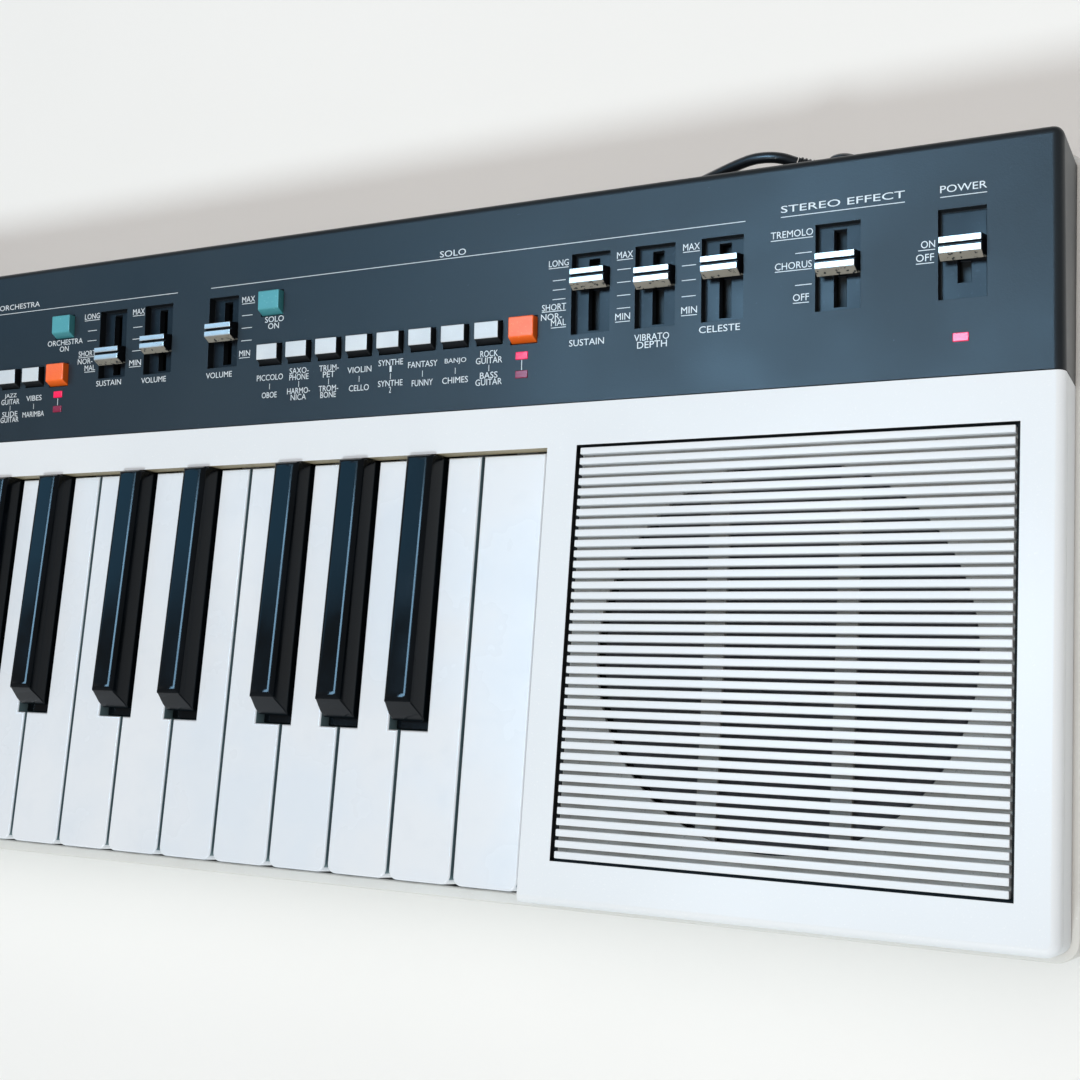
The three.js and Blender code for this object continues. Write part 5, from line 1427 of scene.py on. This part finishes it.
def word_mesh(bm, text, x0, x1, middle):
    """Prints one word between two ends, with its capitals CAP_HEIGHT high."""
    curve = bpy.data.curves.new("work", "FONT")
    curve.body = text
    curve.resolution_u = 3
    shaped = linked("work", curve)
    graph = bpy.context.evaluated_depsgraph_get()
    flat = bmesh.new()
    flat.from_mesh(shaped.evaluated_get(graph).to_mesh())
    bpy.data.objects.remove(shaped)
    bpy.data.curves.remove(curve)
    xs = [v.co.x for v in flat.verts]
    ys = [v.co.y for v in flat.verts]
    scale_x = (x1 - x0) * MM / (max(xs) - min(xs))
    scale_y = CAP_HEIGHT * MM / (max(ys) - min(ys))
    for v in flat.verts:
        v.co.x = across(x0) + (v.co.x - min(xs)) * scale_x
        v.co.y = middle * MM + (v.co.y - min(ys)) * scale_y - CAP_HEIGHT * MM / 2
        v.co.z = INK_BASE
    grown_face = bmesh.ops.extrude_face_region(flat, geom=flat.faces[:])
    lifted = [made for made in grown_face["geom"] if isinstance(made, bmesh.types.BMVert)]
    bmesh.ops.translate(flat, vec=(0, 0, INK), verts=lifted)
    absorb(bm, flat)


def voice_words(bm, x, pair):
    """Prints a button's two voices below it, joined by a short upright line."""
    for voice, line, outwards in zip(pair, VOICE_LINES, (1, -1)):
        words = voice.split()
        middles = [line]
        if len(words) == 2:
            shift = TWO_LINE_SHIFT * outwards
            middles = [line + LINE_SPREAD + shift, line - LINE_SPREAD + shift]
        for word, middle in zip(words, middles):
            half = max(len(word) * LETTER_WIDTH, NARROWEST_WORD) / 2
            if len(word) == 1:
                half = ONE_LETTER_WIDTH / 2
            word_mesh(bm, word, x - half, x + half, middle)
    block(bm, around(across(x), 0.1 * MM), (11.9 * MM, 13.9 * MM), (INK_BASE, INK))


def lettering():
    ink = bmesh.new()
    for text, x0, x1, middle in WORDS:
        word_mesh(ink, text, x0, x1, middle)
    for name, pair in VOICES.items():
        voice_words(ink, BUTTONS[name][0], pair)
    for x, pair in zip(BANK, BANK_VOICES):
        voice_words(ink, x, pair)
    for x0, x1, y in RULES:
        rule_y = ((y - RULE_HALF) * MM, (y + RULE_HALF) * MM)
        block(ink, (across(x0), across(x1)), rule_y, (INK_BASE, INK))
    for x, upper, lower in LAMP_LINES:
        block(ink, around(across(x), 0.12 * MM), (lower * MM, upper * MM), (INK_BASE, INK))
    piece("screen_printing", on_panel(ink), [screen_ink()], "case")


lettering()

# ---- Supply socket, lead and mains adapter ----
# The low-voltage lead of an external mains adapter: an angled plug in the rear socket, a round PVC lead that
# drops to the table, a coil kept by a tie, and an adapter with two flat blades.

socket_low, socket_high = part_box("supply_socket")
JACK = Vector(((socket_low.x + socket_high.x) / 2, PANEL_REAR, (socket_low.z + socket_high.z) / 2))
IN_JACK = Matrix.Translation(JACK) @ BACKWARDS

# Soft PVC with a slight gloss for the lead, and a dull textured shell for the adapter.
soft_pvc = moulded("extruded_black_pvc", ("#131518", "#17191D", "#24272B"), 0.34, 2.0, 0.01, 14, 0.1, 1.52)
adapter_abs = moulded("textured_adapter_abs", ("#17181B", "#1B1C1F", "#2A2C2F"), 0.5, 0.6, 0.015, 30)


def nickel_plate():
    """Bright nickel over brass, with a stain of contact wear on a scale of 2 mm."""
    made, tree, shader, place = material("nickel_plated_brass", Metallic=1.0)
    stain = node(tree, "ShaderNodeTexNoise", {"Vector": place, "Scale": per_mm(2.0), "Detail": 3.0})
    tones = {0: stain, 6: linear("#B9B4A8"), 7: linear("#CFCBC1")}
    gloss = {"Value": stain, "From Min": 0.3, "From Max": 0.7, "To Min": 0.18, "To Max": 0.34}
    surface = {
        "Base Color": node(tree, "ShaderNodeMix", tones, 2, data_type="RGBA"),
        "Roughness": node(tree, "ShaderNodeMapRange", gloss),
    }
    connect(tree, shader, surface)
    return made


nickel = nickel_plate()


def turned_mm(bm, profile, segments, place):
    """Turns a profile that is given in millimetres."""
    turned(bm, [(radius * MM, height * MM) for radius, height in profile], segments, place)


def supply_socket():
    ring = bmesh.new()
    sleeve = [(0, -11), (7, -11), (7, -2.9), (5.5, -2.9), (5.5, 0), (5.2, 0.3), (3.5, 0.3), (3.2, 0)]
    turned_mm(ring, sleeve + [(3.2, -9), (0, -9)], 48, IN_JACK)
    piece("socket_body", ring, [satin_black], "case", ("supply_socket",))
    pin = bmesh.new()
    turned_mm(pin, [(0, -9.2), (1, -9.2), (1, -1.6), (0.7, -1), (0, -0.9)], 24, IN_JACK)
    piece("socket_pin", pin, [nickel], "case")


supply_socket()

CORD_DIAMETER = 3.4 * MM
# Route of the lead from its strain relief: millimetres past the last key, behind the key fronts and above
# the table.
CORD_ROUTE = [
    (76.4, 221.6, 56.8), (72.4, 222.8, 58.6), (68, 223.4, 59.4), (63, 223.6, 59), (57, 223.2, 57.2),
    (50, 222.6, 54.4), (42, 222.4, 50.2), (33, 222.8, 44.4), (22, 224, 35.4), (10, 225.6, 25.4),
    (-4, 227.6, 14.8), (-20, 229.6, 6.6), (-38, 231.2, 2.8), (-60, 232.4, 1.7), (-110, 233.4, 1.7),
    (-170, 231.8, 1.7), (-230, 233.2, 1.7), (-280, 231.4, 1.7), (-320, 229.2, 1.7), (-345, 227.8, 1.8),
]
ROUTE = [Vector((across(x), KEY_FRONT + y * MM, z * MM)) for x, y, z in CORD_ROUTE]
COIL_CENTRE = Vector((across(-372), KEY_FRONT + 252 * MM, 0))
COIL_OUTER_LANE = 24.5 * MM
LANE_PITCH = 3.5 * MM
LAYER_PITCH = 3.45 * MM
LAYERS = 4
TURNS = 3
COIL_BASE = 2.25 * MM
COIL_STEP_DEGREES = 10
CURVE_STEPS = 6
RELIEF_TIP = Vector((across(-385.95), COIL_CENTRE.y - COIL_OUTER_LANE, 12.1 * MM))
# The lead runs on out of sight inside the adapter's shell.
INSIDE_ADAPTER = 36 * MM


def smooth_step(t):
    t = min(max(t, 0), 1)
    return t * t * (3 - 2 * t)


def coil_points():
    """Turns wound clockwise in lanes, inwards and outwards by turns of layers, from the near side."""
    points = []
    for layer in range(LAYERS):
        for i in range(TURNS * 360 // COIL_STEP_DEGREES):
            turns = i * COIL_STEP_DEGREES / 360
            whole = math.floor(turns)
            lane = whole + smooth_step((turns - whole - 0.25) / 0.75)
            lane = lane if layer % 2 == 0 else TURNS - lane
            radius = COIL_OUTER_LANE - lane * LANE_PITCH
            rise = layer if layer == 0 else layer - 1 + smooth_step(turns / 0.25)
            angle = math.radians(-90 - i * COIL_STEP_DEGREES)
            height = COIL_BASE + rise * LAYER_PITCH
            points.append(COIL_CENTRE + Vector((radius * math.cos(angle), radius * math.sin(angle), height)))
    last = COIL_CENTRE + Vector((0, -COIL_OUTER_LANE, COIL_BASE + (LAYERS - 1) * LAYER_PITCH))
    inside = RELIEF_TIP - Vector((INSIDE_ADAPTER, 0, 0))
    return points + [last, last.lerp(RELIEF_TIP, 0.5), RELIEF_TIP, inside]


def curved_through(points):
    """A Catmull-Rom curve through the points, as a finer polyline."""
    ends = [points[0] * 2 - points[1]] + points + [points[-1] * 2 - points[-2]]
    curve = []
    for a, b, c, d in zip(ends, ends[1:], ends[2:], ends[3:]):
        for i in range(CURVE_STEPS):
            t = i / CURVE_STEPS
            square = (2 * a - 5 * b + 4 * c - d) * t**2
            cube = (3 * b - a - 3 * c + d) * t**3
            curve.append(0.5 * (2 * b + (c - a) * t + square + cube))
    return curve + [points[-1]]


def frame_at(along):
    """A turn that points Z along a direction."""
    return Vector(along).normalized().to_track_quat("Z", "Y").to_matrix().to_4x4()


def strain_relief(length, ridges, pitch, ridge, radius, taper, depth):
    """A tapered sleeve with ridges round it, as a profile in millimetres that ends just before the tip."""
    profile = [(0, -length)]
    for i in range(ridges):
        outer = radius - taper * i
        start = pitch * i - length
        profile += [(outer, start), (outer, start + ridge), (outer - depth, start + ridge + 0.1)]
        profile += [(outer - depth, start + pitch - 0.1)]
    return profile + [(1.95, -0.3), (0, -0.3)]


def plug():
    body = bmesh.new()
    shell = [(0, 0.6), (4.6, 0.6), (5, 1.0), (5, 5.4), (4.4, 6.1), (3.4, 6.2), (3.1, 5.9), (0, 5.9)]
    turned_mm(body, shell, 48, IN_JACK)
    relief = bmesh.new()
    along_lead = Matrix.Translation(ROUTE[0]) @ frame_at(ROUTE[1] - ROUTE[0])
    turned_mm(relief, strain_relief(10, 8, 1.2, 0.6, 2.6, 0.08, 0.35), 32, along_lead)
    absorb(body, relief)
    moulded_plug = piece("plug_moulding", body, [soft_pvc], "case", ("cord_plug",))
    barrel = bmesh.new()
    tube = [(1.3, -8.4), (2.9, -8.4), (2.9, 1), (0, 1), (0, -0.4), (1.3, -0.4), (1.3, -8.4)]
    turned_mm(barrel, tube, 32, IN_JACK)
    return [moulded_plug, piece("plug_barrel", barrel, [nickel], "case")]


BLADE_LENGTH = 17 * MM
BLADE_SPACING_HALF = 6.35 * MM
VENT_RIBS = 6
VENT_RIB_PITCH = 3.2
ADAPTER_CORNER = 4 * MM
ADAPTER_SEAM = 12.1 * MM


def adapter():
    low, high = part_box("mains_adapter")
    body_x = (low.x + BLADE_LENGTH, RELIEF_TIP.x - 16 * MM)
    body_y = (low.y, high.y)
    body = bmesh.new()
    seam = low.z + ADAPTER_SEAM
    levels = [(2 * MM, low.z + 0.05 * MM), (0.6 * MM, low.z + 0.6 * MM), (0, low.z + 2 * MM)]
    levels += [(0, seam - 0.3 * MM), (0.5 * MM, seam - 0.2 * MM)]
    levels += [(0.5 * MM, seam + 0.2 * MM), (0, seam + 0.3 * MM)]
    levels += [(0, high.z - 2 * MM), (0.6 * MM, high.z - 0.6 * MM), (2 * MM, high.z)]
    rings = [raised(outline(grown(body_x, -i), grown(body_y, -i), ADAPTER_CORNER), z) for i, z in levels]
    loft(body, rings)
    rib_z = (low.z + 5 * MM, high.z - 6 * MM)
    for i in range(VENT_RIBS):
        rib_x = around(body_x[0] + (12 + VENT_RIB_PITCH * i) * MM, 0.8 * MM)
        for y in body_y:
            absorb(body, soft_block(rib_x, around(y, 0.4 * MM), rib_z, 0.35 * MM))
    relief = bmesh.new()
    at_tip = Matrix.Translation(RELIEF_TIP) @ frame_at((1, 0, 0))
    turned_mm(relief, strain_relief(17, 10, 1.6, 0.8, 3.2, 0.12, 0.5), 32, at_tip)
    absorb(body, relief)
    shell = piece("adapter_shell", body, [adapter_abs], "case", ("mains_adapter",))
    blades = bmesh.new()
    blade_z = around((low.z + high.z) / 2, 3.15 * MM)
    for side in (-1, 1):
        blade_y = around((low.y + high.y) / 2 + side * BLADE_SPACING_HALF, 0.75 * MM)
        absorb(blades, soft_block((low.x, body_x[0] + MM), blade_y, blade_z, 0.3 * MM))
    return [shell, piece("adapter_blades", blades, [nickel], "case")]


TIE_HALF = 4 * MM
TIE_THICKNESS = 0.42 * MM
TIE_EDGE = 0.1 * MM


def coil_tie():
    """A flat strap of woven nylon round the winding, on the side away from the instrument."""
    clear = CORD_DIAMETER / 2 + 0.1 * MM
    across_coil = (COIL_OUTER_LANE - TURNS * LANE_PITCH - clear, COIL_OUTER_LANE + clear)
    top = COIL_BASE + (LAYERS - 1) * LAYER_PITCH + clear
    holes, skins = [], []
    for x in (-TIE_HALF, -TIE_HALF + 0.2 * MM, TIE_HALF - 0.2 * MM, TIE_HALF):
        shrink = TIE_EDGE if abs(x) == TIE_HALF else 0
        hole = outline(grown(across_coil, -shrink), (0.45 * MM + shrink, top - shrink), 1.7 * MM)
        skin_y = grown(across_coil, TIE_THICKNESS - shrink)
        skin = outline(skin_y, (0.03 * MM + shrink, top + TIE_THICKNESS - shrink), 2.1 * MM)
        holes.append([COIL_CENTRE + Vector((x, y, z)) for y, z in hole])
        skins.append([COIL_CENTRE + Vector((x, y, z)) for y, z in skin])
    tie = bmesh.new()
    loft(tie, holes + skins[::-1], "joined")
    woven = moulded("woven_nylon_tape", ("#1D1F22", "#232529", "#34373B"), 0.8, 0.8, 0.06, 8)
    return piece("coil_tie", tie, [woven], "case")


def lead():
    points = curved_through(ROUTE + coil_points())
    curve = bpy.data.curves.new("supply_lead", "CURVE")
    curve.dimensions = "3D"
    curve.bevel_depth = CORD_DIAMETER / 2
    curve.bevel_resolution = 4
    curve.use_fill_caps = True
    spline = curve.splines.new("POLY")
    spline.points.add(len(points) - 1)
    for spot, point in zip(spline.points, points):
        spot.co = (*point, 1)
    spline.use_smooth = True
    curve.materials.append(soft_pvc)
    made = linked("supply_lead", curve)
    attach(made, "case")
    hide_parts("supply_cord", "cord_coil")
    others = plug() + adapter() + [coil_tie()]


lead()
